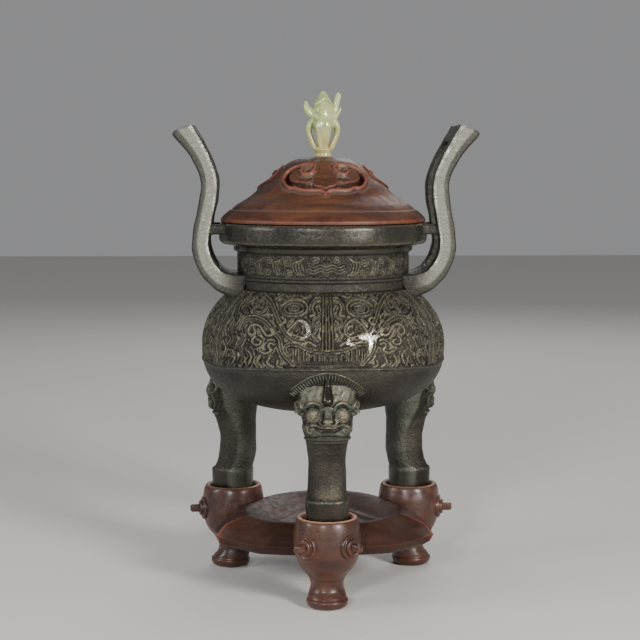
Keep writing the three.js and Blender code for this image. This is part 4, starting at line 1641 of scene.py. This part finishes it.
@dataclass
class MaskedLeg:
    """A leg that grows out of the bowl under an animal mask and ends in a plain block foot."""

    bowl: Bowl
    sections: Sequence[tuple[float, float, float, float]] = (
        (44, 74.1, 12.6, 12.6), (45.2, 74.1, 13.4, 13.4), (61, 74.3, 13.8, 14),
        (71.4, 74.4, 14, 14.4), (72.6, 74.4, 13.6, 14.1), (73.8, 73.4, 12.8, 13.2),
        (79, 71.2, 12.3, 12.8), (86, 69.6, 12.2, 12.7), (97, 69.6, 12, 12.4),
        (108, 71.2, 13.4, 13.6), (118, 72.4, 15.2, 15.8), (130, 71.8, 16.4, 17.4),
        (141, 67.9, 16.4, 20), (151, 62, 18.4, 23),
    )
    squareness: float = 2.6
    front_columns: int = 150
    back_columns: int = 34
    front_part: float = 0.52
    horn_from: float = 135.4
    horn_to: float = 156.0
    horn_half_width: float = 4.0
    horn_rise: float = 5.2
    horn_back: float = 1.6
    horn_around: int = 28
    foot_share: float = 0.2
    fringe_half_width: float = 22.4
    fringe_top_z: float = 153.7
    fringe_drop: float = 12.0
    tooth: tuple[float, float, float] = (0.56, 2.9, 0.95)
    teeth: int = 30

    def rows(self) -> Array:
        """Heights of the rings, close together over the mask."""
        return np.concatenate(
            [np.linspace(44, 106, 56, endpoint=False), np.linspace(106, 150.5, 99)]
        )

    def base(self, z: Array) -> tuple[Array, Array]:
        """The plain leg.

        Args:
            z: Heights of the rings.

        Returns:
            The grid of points, and the distance round the leg from its front line.
        """
        table = np.array(self.sections)
        reach, depth, width = (np.interp(z, table[:, 0], table[:, i]) for i in (1, 2, 3))
        mellow = np.hanning(9)[1:-1] / np.hanning(9)[1:-1].sum()
        for values in (reach, depth, width):
            padded = np.pad(values, 3, mode="edge")
            values[:] = np.where(z > 80, np.convolve(padded, mellow, "valid"), values)
        power = 2 / self.squareness
        fine = np.linspace(0, math.pi, 600)
        ahead, aside = squared(fine, power)
        along = lengths(np.column_stack([aside, ahead]))
        front = np.linspace(0, self.front_part, self.front_columns // 2, endpoint=False)
        back = np.linspace(self.front_part, 1, self.back_columns // 2)
        half = np.interp(np.concatenate([front, back]) * along[-1], along, fine)
        ahead, aside = squared(np.concatenate([half, TAU - half[-2:0:-1]]), power)
        grid = np.empty((len(z), len(ahead), 3))
        grid[..., 0] = width[:, None] * aside
        grid[..., 1] = -reach[:, None] - depth[:, None] * ahead
        grid[..., 2] = z[:, None]
        gaps = np.linalg.norm(np.diff(grid[:, : len(half)], axis=1), axis=2)
        round_half = np.concatenate([np.zeros((len(z), 1)), np.cumsum(gaps, axis=1)], axis=1)
        return grid, np.concatenate([round_half, round_half[:, -2:0:-1]], axis=1)

    def face(self, across: Array, z: Array) -> Array:
        """Heights of the animal's face.

        Args:
            across: Distance round the leg from its front line, on either side.
            z: Height.

        Returns:
            Heights off the plain leg.
        """
        work = Drawing(across, z, 0.0)
        work.dome((9.0, 120.8), 6.8, 5.6, 1.9)
        work.dome((0.0, 127.5), 3.6, 8.0, 1.8)
        work.dome((9.4, 131.6), 6.6, 6.4, 1.0)
        work.band(spline([(4.2, 133), (6.4, 136.2), (10.4, 136.9), (14.4, 134.2)]), 1.2, 2.3)
        work.band(spline([(0, 134.2), (3.2, 133.2), (4.8, 130.8)]), 1.1, 1.7)
        aside, over = across - 9.2, z - 129.3
        eye = np.hypot(aside, over)
        work.height -= bell(eye, 5.9, 0.8)
        ball = 3.6 * np.sqrt(np.clip(1 - (eye / 5.2) ** 2, 0, 1))
        striped = ramp(0.4, 1.4, -aside * 0.8 - over * 0.6) * ramp(-0.3, 0.9, 4.4 - eye)
        ball += 0.5 * striped * np.cos(TAU * (aside * 0.6 - over * 0.8) / 1.35)
        ball = np.maximum(ball + 0.5 * bell(eye, 4.6, 0.45), 0.2)
        work.height = np.where(eye < 5.2, ball, work.height)
        work.dome((0.0, 125.4), 4.9, 2.7, 2.6)
        work.band(spline([(0, 123.6), (3.4, 123.4), (5.4, 125.2), (4.6, 127.2)]), 1.0, 2.6)
        work.cut(spline([(1.8, 124.8), (3.0, 124.6)]), 0.8, 1.2)
        work.band(spline([(0, 121.8), (4, 121.6), (7.6, 123.4), (10.4, 123.8)]), 0.95, 2.5)
        work.cut(spline([(0, 119.8), (4, 119.9), (7.4, 121.2)]), 1.2, 2.4)
        work.band(curl((10.6, 120.2), 2.9, 110, -1.1), 1.0, 2.8)
        jaw = [(0, 117.7), (4.6, 117.6), (9, 116.8), (13.6, 118.4), (15.4, 122)]
        work.band(spline(jaw), 0.95, 2.0)
        work.band(spline([(14.6, 127.4), (17.4, 125.2), (18.8, 121.6), (17.8, 118.2)]), 0.7, 1.2)
        work.band(np.array([(0, 113.6), (18, 113.6)]), 0.95, 1.3)
        work.band(np.array([(0, 110.9), (15, 110.9)]), 0.55, 0.5)
        ear = np.hypot((across - 20.4) / 0.95, z - 133.4)
        opening = np.arctan2(z - 133.4, across - 20.4)
        ring = 3.3 * bell(ear, 4.1, 1.3) * (1 - 0.85 * bell(opening, -2.5, 0.5))
        work.height = np.maximum(work.height, ring) - 0.8 * bell(ear, 0, 1.9)
        work.dome((22.4, 131.6), 1.6, 1.8, 1.6)
        return work.height

    def horn(self) -> Array:
        """The glossy tear-shaped horn, as rings from its round foot to its tip.

        Returns:
            The rings.
        """
        share = np.linspace(0.0, 1.0, 44)
        z = self.horn_from + share * (self.horn_to - self.horn_from)
        foot = np.sqrt(np.clip(1 - (1 - share / self.foot_share) ** 2, 0, 1))
        taper = 1 - 0.75 * np.clip((share - self.foot_share) / 0.8, 0, 1) ** 1.15
        size = np.maximum(np.where(share < self.foot_share, foot, taper), 0.04)
        table = np.array(self.sections)
        front = np.interp(z, table[:, 0], table[:, 1] + table[:, 2])
        base = np.maximum(front, self.bowl.radius(z)) - 0.8
        angle = TAU * np.arange(self.horn_around) / self.horn_around
        grid = np.empty((len(z), len(angle), 3))
        grid[..., 0] = self.horn_half_width * size[:, None] * np.cos(angle)
        proud = np.where(np.sin(angle) > 0, self.horn_rise, self.horn_back)
        grid[..., 1] = -base[:, None] - size[:, None] * proud * np.sin(angle)
        grid[..., 2] = z[:, None]
        return grid

    def build(self, number: int, finish: Material) -> Piece:
        """Makes one leg.

        Args:
            number: Which of the legs it is, the front one being 0.
            finish: Its material.

        Returns:
            The leg.
        """
        grid, across = self.base(self.rows())
        z = grid[..., 2]
        front = 1 - ramp(25.5, 28.5, across)
        height = self.face(across, z) * front * (1 - ramp(149, 151, z))
        height += 0.2 * unevenness(grid, 12, 31 + number) * ramp(72, 76, z)
        height += 0.3 * unevenness(grid, 4.5, 71 + number) * (z > 115) * front
        brow = 0.5 * ramp(134, 140, z) * (1 - ramp(16, 24, across))
        relief = (np.clip((height - 1.3) / 1.9, -0.7, 0.9) + brow) * front
        notch = 0.3 * ramp(72.5, 75, z) * (1 - ramp(75, 84, z)) * (1 - ramp(3, 12, across))
        marks = {
            "relief": relief + 0.5 * bell(z, 72, 0.8),
            "pale": notch + 0.55 * brow,
            "worn": 0.25 * np.clip(relief, 0, 1),
            "polish": 1 - ramp(71, 73, z) + 0.5 * brow,
        }
        skin = Skin()
        for rings, values in (
            (raised(grid, height), marks),
            (self.horn(), {"relief": -0.6, "polish": 1.0}),
            (self.fringe_rim(), {"relief": 0.7}),
        ):
            skin.add_solid(turned_about(rings, LEG_TURNS[number]), values)
        name = ("leg_front", "leg_right", "leg_left")[number]
        return dressed(skin.to_object(name), finish)

    def fringe_rim(self) -> Array:
        """The raised line that bounds the comb of hair, as rings along its bow.

        Returns:
            The rings.
        """
        share = np.linspace(-1, 1, 61)
        across = share * (self.fringe_half_width + 0.8)
        z = self.fringe_top_z + 2.9 - (self.fringe_drop - 0.8) * share**2
        path = self.bowl.point(across, z, -0.1)
        out = self.bowl.outward(across, z)
        along = np.gradient(path, axis=0)
        side = np.cross(along / np.linalg.norm(along, axis=1, keepdims=True), out)
        turn = TAU * np.arange(10) / 10
        return path[:, None] + 0.62 * (
            np.cos(turn)[:, None] * side[:, None] + 1.3 * np.sin(turn)[:, None] * out[:, None]
        )

    def fringe(self, finish: Material) -> Piece:
        """Makes the comb of hair over every mask's brow, with Geometry Nodes.

        Args:
            finish: Its material.

        Returns:
            The piece.
        """
        paths, outward = [], []
        share = np.linspace(-1, 1, 41)
        across = share * self.fringe_half_width
        z = self.fringe_top_z - self.fringe_drop * share**2
        for turn in LEG_TURNS:
            paths.append(turned_about(self.bowl.point(across, z, 0.15), turn))
            outward.append(turned_about(self.bowl.outward(across, z), turn))
        values = dict(zip(("Width", "Length", "Rise"), (size * MM for size in self.tooth)))
        values |= {"Count": self.teeth, "Material": finish}
        piece = grown("mask_fringes", path_host(paths, outward), comb_tree(), values)
        mark_all(piece, relief=0.55)
        return dressed(piece, None)


# The wood lid


@dataclass
class Lid:
    """The carved wood cover: a low dome with three ruyi heads, hollow underneath."""

    seat_z: float = 252.3
    profile: Line = (
        (71, 0), (71.2, 1.8), (69.4, 4), (64.9, 8.0), (64.2, 8.5), (63.6, 8.7), (59.5, 12),
        (54.6, 15), (49, 18.8), (43.4, 24.4), (37.8, 29.3), (31.8, 35), (24.5, 40.3),
        (18, 43.1), (15.2, 43.5),
    )
    disc: Line = ((14.2, 43.4), (13.4, 43.7), (12.6, 44.2), (3.0, 44.3))
    under: Line = (
        (3, 38.5), (18, 36), (32, 26), (44, 13), (50.5, 6), (50.5, -7), (56.6, -7), (56.6, 0),
        (71, 0),
    )
    bead: Line = (
        (15.8, 28.2), (14.4, 31.0), (10.6, 32.2), (7.4, 30.6), (6.3, 27.8), (8.6, 24.8),
        (14.8, 22.5), (20, 21), (24.6, 21.1), (27.2, 23.6), (27.7, 27.6), (26.2, 33.4),
        (23.2, 37.7), (19.6, 39.6), (16.6, 42), (12, 44), (6.5, 45), (3, 45.6), (0.8, 47.0),
        (0, 48.6),
    )
    plate_edge: Line = (
        (16.5, 24.6), (20.4, 23.8), (23.4, 25.2), (23.6, 28.4), (21.4, 32.2), (17.4, 35.2),
        (14.6, 36.8), (12.4, 38.2), (10.2, 39.9), (8.2, 39.2), (7.4, 40.6), (5.4, 41.9),
        (2.6, 42.6), (0, 44.8),
    )
    bead_turn: tuple[float, float] = (14.8, 22.5)
    bead_half_width: float = 0.95
    bead_rise: float = 1.2
    channel_depth: float = 3.2
    around: int = 520

    def carving(self, grid: Array) -> tuple[Array, dict[str, Array]]:
        """Heights and marks of the ruyi heads on the dome.

        Args:
            grid: Points of the dome.

        Returns:
            Heights off the dome, and the marks by name.
        """
        turn = folded(np.arctan2(grid[..., 0], -grid[..., 1]))
        radius = np.hypot(grid[..., 0], grid[..., 1])
        across, out = radius * np.sin(turn), radius * np.cos(turn)
        bead = spline(self.bead, 7)
        edge = spline(self.plate_edge, 6)
        near_bead = distance(across, out, bead)
        start = int(np.argmin(np.linalg.norm(bead - np.array(self.bead_turn), axis=1)))
        trough = np.vstack([bead[start:], edge[::-1]])
        deep = ramp(-0.1, 1.3, edge_distance(across, out, trough))
        height = -self.channel_depth * deep
        height -= 0.9 * bell(distance(across, out, bead[: start + 1]), 2.2, 0.7) * (out > 24)
        height -= 2.2 * (1 - ramp(1.2, 2.7, np.hypot(across - 11.3, out - 28.4)))
        boss = np.hypot(across - 10.2, out - 36.6)
        height += 0.7 * bell(boss, 0, 1.5) - 0.7 * bell(boss, 2.4, 0.5)
        height -= 0.8 * bell(np.hypot(across, out - 37.5), 0, 1.3)
        ring = 1 - ramp(self.bead_half_width - 0.55, self.bead_half_width + 0.45, near_bead)
        rim = ring * (self.bead_rise - 0.35 * (near_bead / self.bead_half_width) ** 2)
        height = np.where(ring > 0, np.maximum(height * (1 - ring) + rim, height), height)
        outside = edge_distance(across, out, np.vstack([bead[start:], [(0, 20)]])) < 0
        height -= 0.3 * bell(near_bead, 2.5, 0.9) * outside
        plate_worn = bell(distance(across, out, edge), 0, 0.8) * (deep < 0.5)
        dust = 0.8 * bell(near_bead, 2.4, 0.6) * (deep < 0.2) + 0.7 * bell(boss, 2.3, 0.6)
        marks = {
            # Painted shade: relief goes to -1 down in the carved channels, which the finish paints
            # near black.
            "relief": -deep,
            "worn": np.clip(0.85 * ring + 0.6 * plate_worn, 0, 1),
            "dust": np.clip(dust, 0, 1),
        }
        return height, marks

    def build(self, finish: Material) -> Piece:
        """Makes the lid.

        Args:
            finish: Its material.

        Returns:
            The piece.
        """
        seat = [0, self.seat_z]
        lower = evenly(rounded(self.profile[:6], 0.7), 26)
        upper = evenly(spline(self.profile[5:], 6), 100)
        dome = turned_grid(np.vstack([lower[:-1], upper]) + seat, self.around)
        height, marks = self.carving(dome)
        rise = dome[..., 2] - self.seat_z
        step = bell(rise, 8.75, 0.5)
        height += 0.1 * unevenness(dome, 24, 41) - 0.35 * step
        marks["dust"] = np.maximum(marks["dust"], 0.85 * step)
        band_edge = bell(rise, 9.9, 0.5) + bell(rise, 1.6, 1.1)
        marks["worn"] = np.clip(marks["worn"] + 0.35 * band_edge + 0.28 * (rise < 8), 0, 1)

        coarse = self.around // 4
        top = turned_grid(evenly(rounded(self.disc, 0.4), 12) + seat, coarse)
        rim = {"worn": 0.7 * bell(top[..., 2] - self.seat_z, 44.1, 0.3)}

        under = turned_grid(evenly(rounded(self.under, 0.8), 60) + seat, coarse)
        skin = Skin()
        first, last = skin.add_chain((under, {}), (raised(dome, height), marks), (top, rim))
        skin.cap(first, np.array([0, 0, self.seat_z + self.under[0][1]]))
        skin.cap(last, np.array([0, 0, self.seat_z + self.disc[-1][1]]))
        return dressed(skin.to_object("lid"), finish, "wood_lid")


# The jade finial


@dataclass
class Finial:
    """A closed bud with leaves, held by bent stems that spring from a short base."""

    seat_z: float = 296.9
    voxel: float = 0.38
    bud: Line = (
        (0.4, 15.4), (3.4, 16.4), (6.2, 19.2), (8.1, 23.4), (8.7, 27.2), (8.1, 31.4),
        (6.8, 35.4), (5.2, 38.8), (3.4, 42.2), (1.7, 44.3), (0.4, 45.0),
    )
    base: Line = (
        (0.5, 0), (6.0, 0), (6.2, 0.6), (5.5, 2.2), (6.4, 4.0), (7.0, 5.2), (5.4, 6.6), (0.5, 7),
    )

    def tube(self, path: Array, widths: Sequence[float], flat: float) -> Array:
        """Rings round a path.

        Args:
            path: Its points.
            widths: Half width at each.
            flat: Thickness as a share of width, measured away from the axis.

        Returns:
            The rings.
        """
        angle = TAU * np.arange(20) / 20
        along = np.gradient(path, axis=0)
        along /= np.linalg.norm(along, axis=1, keepdims=True)
        radial = path * np.array([1, 1, 0])
        radial /= np.maximum(np.linalg.norm(radial, axis=1, keepdims=True), 1e-6)
        side = np.cross(along, radial)
        side /= np.linalg.norm(side, axis=1, keepdims=True)
        out = np.cross(side, along)
        width = np.array(widths)[:, None, None]
        return path[:, None] + width * (
            np.cos(angle)[:, None] * side[:, None] + flat * np.sin(angle)[:, None] * out[:, None]
        )

    def along(
        self, azimuth: float, points: Sequence[tuple[float, float, float]], flat: float
    ) -> Array:
        """A stem or leaf from its reach, height and half width at a few points.

        Args:
            azimuth: Its direction from +X, in degrees.
            points: Reach, height and half width at each point.
            flat: Thickness as a share of width.

        Returns:
            Its rings.
        """
        reach, height, width = spline(points).T
        angle = math.radians(azimuth)
        path = np.column_stack([reach * math.cos(angle), reach * math.sin(angle), height])
        return self.tube(path, np.maximum(width, 0.15), flat)

    def build(self, finish: Material) -> Piece:
        """Makes the finial, all one carved stone.

        Args:
            finish: Its material.

        Returns:
            The piece.
        """
        bud = turned_grid(evenly(spline(self.bud, 6), 70), 96)
        angle = np.arctan2(bud[..., 1], bud[..., 0])
        z = bud[..., 2]
        seam = 0.85 * bell(z + 2.4 * np.sin(2 * angle + 0.6), 37.2, 0.8)
        fold = 0.85 * bell(z + 5.5 * np.cos(angle + 0.7), 30.5, 0.9)
        lobes = 0.45 * np.cos(4 * angle + 0.4) * ramp(44, 30, z)
        parts = [
            raised(bud, lobes - seam - fold) * [1.0, 0.8, 1.0],
            turned_grid(evenly(rounded(self.base, 0.6), 40), 64),
        ]
        for azimuths, flat, points in (
            ((2, 92, 182), 0.85, [(2.6, 2.5, 2.8), (6.0, 7.2, 2.6), (8.5, 12.6, 2.4),
                                  (9.9, 17.6, 2.5), (9.0, 22.4, 2.9), (6.0, 26.2, 2.6)]),
            ((-92,), 0.42, [(1.4, 2.5, 1.6), (3.2, 7.0, 2.0), (5.6, 13.0, 3.4), (7.0, 19.5, 4.9),
                            (7.0, 24.6, 4.0), (5.4, 27.6, 1.6)]),
            ((-62, -118), 1.0, [(3.0, 4.6, 1.4), (6.0, 12.0, 1.5), (8.0, 19.0, 1.7),
                                (7.4, 24.6, 1.5)]),
            ((184,), 1.0, [(6.4, 28.0, 2.0), (9.2, 29.6, 2.6), (10.9, 32.6, 2.7),
                           (11.7, 35.8, 1.8), (12.0, 38.4, 0.6)]),
            ((4,), 1.1, [(4.6, 24.6, 2.4), (7.2, 29.6, 2.6), (8.6, 34.6, 2.3), (9.6, 39.2, 2.2),
                         (11.0, 42.6, 1.9), (11.6, 43.4, 1.3)]),
            ((-6,), 0.9, [(6.0, 24.2, 2.0), (9.2, 28.6, 2.0), (11.4, 31.8, 1.3),
                          (12.6, 34.2, 0.5)]),
            ((100,), 0.42, [(4.5, 23, 2.4), (7.4, 28, 3.9), (8.9, 33, 3.0), (9.6, 37.2, 0.6)]),
        ):
            parts += [self.along(azimuth, points, flat) for azimuth in azimuths]
        skin = Skin()
        for rings in parts:
            skin.add_solid(rings + [0, 0, self.seat_z])
        whole = skin.to_object("finial_parts")
        remesh = whole.modifiers.new("fuse", "REMESH")
        remesh.mode = "VOXEL"
        remesh.voxel_size = self.voxel * MM
        polish = whole.modifiers.new("polish", "SMOOTH")
        polish.factor = 0.5
        polish.iterations = 3
        mesh = shaped(whole)
        bpy.data.objects.remove(whole)
        return dressed(finish_mesh(mesh, "finial", 80), finish, "jade_finial")


# The wood stand


@dataclass
class Stand:
    """Three cups on small feet, joined by a lobed platform with raised cusps between them."""

    leg_circle: float = 74.0
    cup_profile: Line = (
        (10.8, 0), (13.2, 1.6), (14.0, 4.2), (13.9, 5.6), (13.0, 6.3), (12.7, 8.0), (11.5, 11.2),
        (10.8, 14.6), (11.6, 18.4), (14.2, 22.6), (17.8, 27), (20.8, 33.4), (22.2, 41.5),
        (22.1, 50), (21.0, 57), (20.0, 59.6),
    )
    cup_lip: Line = (
        (20.0, 59.6), (19.2, 60.4), (17.4, 60.1), (16.4, 59.0), (16.4, 43.7), (2, 43.7)
    )
    toe: float = 2.6
    boss_turn: float = 42.0
    boss_z: float = 43.4
    boss_reach: float = 20.8
    boss_profile: Line = (
        (8.3, -4), (8.3, 1.3), (7.9, 2.2), (7.2, 2.3), (6.6, 1.7), (5.6, 1.9), (5.4, 3.6),
        (4.9, 4.3), (3.4, 4.5),
    )
    stub_half_width: float = 2.5
    stub_reach: float = 10.8
    lobe_r: float = 77.0
    cusp_r: float = 85.5
    cusp_turn: float = 4.5
    waist_from: float = 20.0
    waist_drop: float = 0.36
    crest_share: float = 0.74
    crest_z: float = 50.5
    dish_z: float = 41.0
    edge_z: float = 37.4
    cusp_z: float = 40.0
    ridge_rise: float = 2.2
    thickness: float = 8.0
    inner_r: float = 25.0
    inner_bow: float = 0.0041
    around: int = 450
    top_rows: int = 52
    below_rows: int = 33
    cup_around: int = 108

    def edge(self, turn: float) -> float:
        """Radius of the platform's edge at a turn in degrees from the nearest cusp."""
        waist = self.waist_drop * max(turn - self.waist_from, 0)
        return self.lobe_r - waist + (self.cusp_r - self.lobe_r) * math.exp(-turn / self.cusp_turn)

    def platform(self, finish: Material) -> Piece:
        """Makes the lobed platform.

        Args:
            finish: Its material.

        Returns:
            The piece.
        """
        row = np.arange(self.top_rows + self.below_rows - 1)
        on_top = row < self.top_rows
        grid = np.empty((len(row), self.around, 3))
        worn = np.zeros((len(row), self.around))
        for i in range(self.around):
            azimuth = 90 + 360 * i / self.around
            turn = abs((azimuth - 30) % 120 - 60)
            near = math.exp(-turn / self.cusp_turn)
            edge = self.edge(turn)
            crest = self.crest_share * (edge + self.lobe_r) / 2
            rim = self.edge_z + (self.cusp_z - self.edge_z) * near
            ridge = self.ridge_rise * near
            between = rim + (self.crest_z - rim) * 0.52
            top = spline(
                [
                    (4.0, self.dish_z - 0.6), (edge * 0.2, self.dish_z - 0.4 + ridge * 0.1),
                    (edge * 0.42, self.dish_z + 1.2 + ridge * 0.2),
                    (edge * 0.6, (self.dish_z + self.crest_z) / 2 + 1.4 + ridge * 0.3),
                    (crest, self.crest_z + ridge * 0.5),
                    (edge * 0.9, between + ridge), (edge * 0.975, rim + 1.6 + 0.5 * ridge),
                    (edge, rim),
                ],
                8,
            )
            below = rounded(
                [
                    (edge, rim), (edge - 0.8, rim - 1.4), (edge - 2.8, rim - self.thickness * 0.62),
                    (edge - self.thickness, rim - self.thickness),
                    (crest, self.crest_z - self.thickness - 3.4),
                    (edge * 0.45, self.dish_z - self.thickness), (4, self.dish_z - self.thickness),
                ],
                1.0,
            )
            profile = np.vstack([evenly(top, self.top_rows), evenly(below, self.below_rows)[1:]])
            out, up = profile.T
            lip = self.inner_r + self.inner_bow * (60 - turn) ** 2
            up += 1.5 * bell(out, lip + 1.8, 2.0) * on_top
            angle = math.radians(azimuth)
            grid[:, i] = np.column_stack([out * math.cos(angle), out * math.sin(angle), up])
            beyond = ramp(0.35, 0.8, out / edge) * (row < self.top_rows + 4)
            worn[:, i] = 0.75 * math.exp(-turn / 0.9) * beyond
            worn[self.top_rows - 1, i] = max(worn[self.top_rows - 1, i], 0.45)
            creased = 0.5 * bell(out, lip, 0.8) * on_top * ramp(20, 34, turn)
            worn[:, i] = np.maximum(worn[:, i], creased)
        skin = Skin()
        skin.add_solid(raised(grid, 0.15 * unevenness(grid, 34, 51)), {"worn": worn})
        return dressed(skin.to_object("stand_platform"), finish, "wood_stand")

    def cups(self, finish: Material) -> Piece:
        """Makes the three cups with their feet and sockets.

        Args:
            finish: Its material.

        Returns:
            The piece.
        """
        skin = Skin()
        outside = evenly(spline(self.cup_profile, 8), 92)
        lip = evenly(rounded(self.cup_lip, 0.5), 40)
        cup = turned_grid(np.vstack([outside[:-1], lip]), self.cup_around)
        outer = np.arange(len(cup))[:, None] < len(outside)
        cup = raised(cup, 0.22 * unevenness(cup, 15, 61) * outer)
        z = cup[..., 2]
        cup[..., 1] -= self.toe * (1 - ramp(5, 12, z)) * outer
        marks = {
            "worn": 0.45 * np.clip(bell(z, 5.7, 0.7) + bell(z, 60, 0.9), 0, 1) * outer,
            # Painted shade: relief at -1 darkens the inside of the socket below its rim.
            "relief": -1.0 * ~outer * (1 - ramp(50, 58, z)),
        }
        # Painted light: the pale mark lightens the socket's inner wall near the rim, fully on the
        # front cup and weaker on the back cups.
        pale = ramp(46, 56, z) * ~outer
        for turn in LEG_TURNS:
            marks["pale"] = (1.0 if turn == 0 else 0.35) * pale
            skin.add_solid(turned_about(cup + [0, -self.leg_circle, 0], turn), marks)
        return dressed(skin.to_object("stand_cups"), finish)

    def bosses(self, finish: Material) -> Piece:
        """Makes the stepped round bosses on the cups, with Geometry Nodes.

        Args:
            finish: Its material.

        Returns:
            The piece.
        """
        skin = Skin()
        steps = turned_grid(evenly(rounded(self.boss_profile, 0.35), 44), 48)
        skin.add_solid(steps, tip=-0.05)
        square = np.column_stack(squared(TAU * (np.arange(28) + 0.5) / 28, 0.4))
        heights = ((3.6, 1.12), (4.8, 1.06), (9.6, 1.0), (10.4, 0.9), (self.stub_reach, 0.66))
        rings = [
            np.column_stack([self.stub_half_width * size * square, np.full(28, z)])
            for z, size in heights
        ]
        skin.add_solid(np.array(rings), tip=0.1)
        boss = skin.to_object("boss_pattern", 40)
        boss.data.transform(Matrix.Translation(-AXIS))
        points, outward = [], []
        for leg in LEG_TURNS:
            for turn_out in (self.boss_turn, -self.boss_turn):
                way = turned_about(np.array([[0.0, -1.0, 0.0]]), turn_out)
                spot = way * self.boss_reach + [0, -self.leg_circle, self.boss_z]
                points.append(turned_about(spot, leg))
                outward.append(turned_about(way, leg))
        piece = grown(
            "stand_bosses",
            path_host(points, outward),
            studs_tree(),
            {"Boss": boss, "Size": 1.0, "Material": finish},
            40,
        )
        bpy.data.objects.remove(boss)
        mark_all(piece, worn=0.3)
        return dressed(piece, None)


# The studio


@dataclass(frozen=True)
class Lamp:
    """A soft square light aimed at the middle of the censer."""

    name: str
    place: tuple[float, float, float]
    size: float
    power: float
    colour: Colour = (1.0, 1.0, 1.0)

    def build(self, target: Vector) -> None:
        """Adds the light.

        Args:
            target: Where it points.
        """
        light = bpy.data.lights.new(self.name, "AREA")
        light.shape = "SQUARE"
        light.size = self.size
        light.energy = self.power
        light.color = self.colour
        lamp = linked(self.name, light)
        lamp.location = self.place
        lamp.rotation_mode = "QUATERNION"
        lamp.rotation_quaternion = (target - lamp.location).to_track_quat("-Z", "Y")


@dataclass(frozen=True)
class Studio:
    """The photograph's view of the censer on a pale floor in soft light."""

    distance: float = 1100.7
    eye_z: float = 291.2
    aside: float = 2.1
    swing: float = 2.0
    pitch: float = 5.6
    lens: float = 88.875
    nearest: float = 0.05
    aim_z: float = 0.17
    floor_size: float = 8.0
    floor_colour: Colour = (0.62, 0.6, 0.57)
    sky_colour: Colour = (0.8, 0.8, 0.82)
    sky_strength: float = 0.34
    lamps: tuple[Lamp, ...] = (
        Lamp("key_light", (0.84, -1.12, 0.58), 0.32, 26.0, (1.0, 0.97, 0.93)),
        Lamp("second_light", (-0.43, -1.4, 0.62), 0.22, 12.0, (0.99, 0.98, 0.97)),
        Lamp("side_light", (-1.25, -0.4, 0.6), 0.5, 8.0, (0.97, 0.98, 1.0)),
        Lamp("back_light", (0.3, 1.4, 1.2), 0.9, 8.0),
    )

    def camera(self) -> None:
        """Sets the camera where the photograph was taken."""
        swing, pitch = math.radians(self.swing), math.radians(self.pitch)
        ahead = Vector((math.sin(swing), math.cos(swing), 0))
        right = Vector((math.cos(swing), -math.sin(swing), 0))
        eye = AXIS - ahead * self.distance * MM - right * self.aside * MM
        eye.z = self.eye_z * MM
        look = ahead * math.cos(pitch) - Vector((0, 0, math.sin(pitch)))
        data = bpy.data.cameras.new("camera")
        data.sensor_width = 36.0
        data.lens = self.lens
        data.clip_start = self.nearest
        camera = linked("camera", data)
        camera.location = eye
        camera.rotation_mode = "QUATERNION"
        camera.rotation_quaternion = look.to_track_quat("-Z", "Y")
        bpy.context.scene.camera = camera

    def floor(self) -> None:
        """Lays the pale floor."""
        half = self.floor_size / 2
        mesh = bpy.data.meshes.new("floor")
        corners = [(-half, -half, 0), (half, -half, 0), (half, half, 0), (-half, half, 0)]
        mesh.from_pydata(corners, [], [(0, 1, 2, 3)])
        floor = linked("floor", mesh)
        material, _, shader = new_material("pale_floor")
        shader.inputs["Base Color"].default_value = (*self.floor_colour, 1.0)
        shader.inputs["Roughness"].default_value = 0.85
        mesh.materials.append(material)

    def build(self) -> None:
        """Sets up the camera, floor, sky and lamps."""
        self.camera()
        self.floor()
        world = bpy.data.worlds.new("studio")
        world.use_nodes = True
        sky = next(n for n in world.node_tree.nodes if n.type == "BACKGROUND")
        sky.inputs["Color"].default_value = (*self.sky_colour, 1.0)
        sky.inputs["Strength"].default_value = self.sky_strength
        bpy.context.scene.world = world
        for lamp in self.lamps:
            lamp.build(Vector((0, 0, self.aim_z)))


def main() -> None:
    """Builds the censer and its studio."""
    logging.basicConfig(level=logging.INFO, format="%(name)s: %(message)s")
    bronze = BronzeFinish("patinated_bronze").build()
    handle_bronze = BronzeFinish("handle_bronze", crest=(0.25, 0.25, 0.21), gloss=0.44).build()
    leg_bronze = BronzeFinish(
        "leg_bronze", skin=(0.07, 0.076, 0.06), gloss=0.34, pitting=0.4
    ).build()
    lid_wood = WoodFinish(
        "lid_wood", body=(0.045, 0.014, 0.007), figure=(0.1, 0.034, 0.012), gloss=0.5, polish=0.03
    ).build()
    stand_wood = WoodFinish(
        "stand_wood", body=(0.042, 0.016, 0.011), figure=(0.095, 0.037, 0.022)
    ).build()
    platform_wood = WoodFinish(
        "platform_wood",
        body=(0.032, 0.014, 0.009),
        figure=(0.05, 0.021, 0.013),
        gloss=0.5,
        polish=0.0,
        grain_depth=0.05,
        shine=0.26,
    ).build()
    jade = JadeFinish("celadon_jade").build()
    bowl = Bowl()
    bowl.build(bronze)
    Neck().build(bronze)
    for side in (1.0, -1.0):
        Handle(side, lean=1.5 * side).build(handle_bronze)
    leg = MaskedLeg(bowl)
    for number in range(len(LEG_TURNS)):
        leg.build(number, leg_bronze)
    leg.fringe(leg_bronze)
    Lid().build(lid_wood)
    Finial().build(jade)
    stand = Stand()
    stand.platform(platform_wood)
    stand.cups(stand_wood)
    stand.bosses(stand_wood)
    Studio().build()


if __name__ == "__main__":
    main()
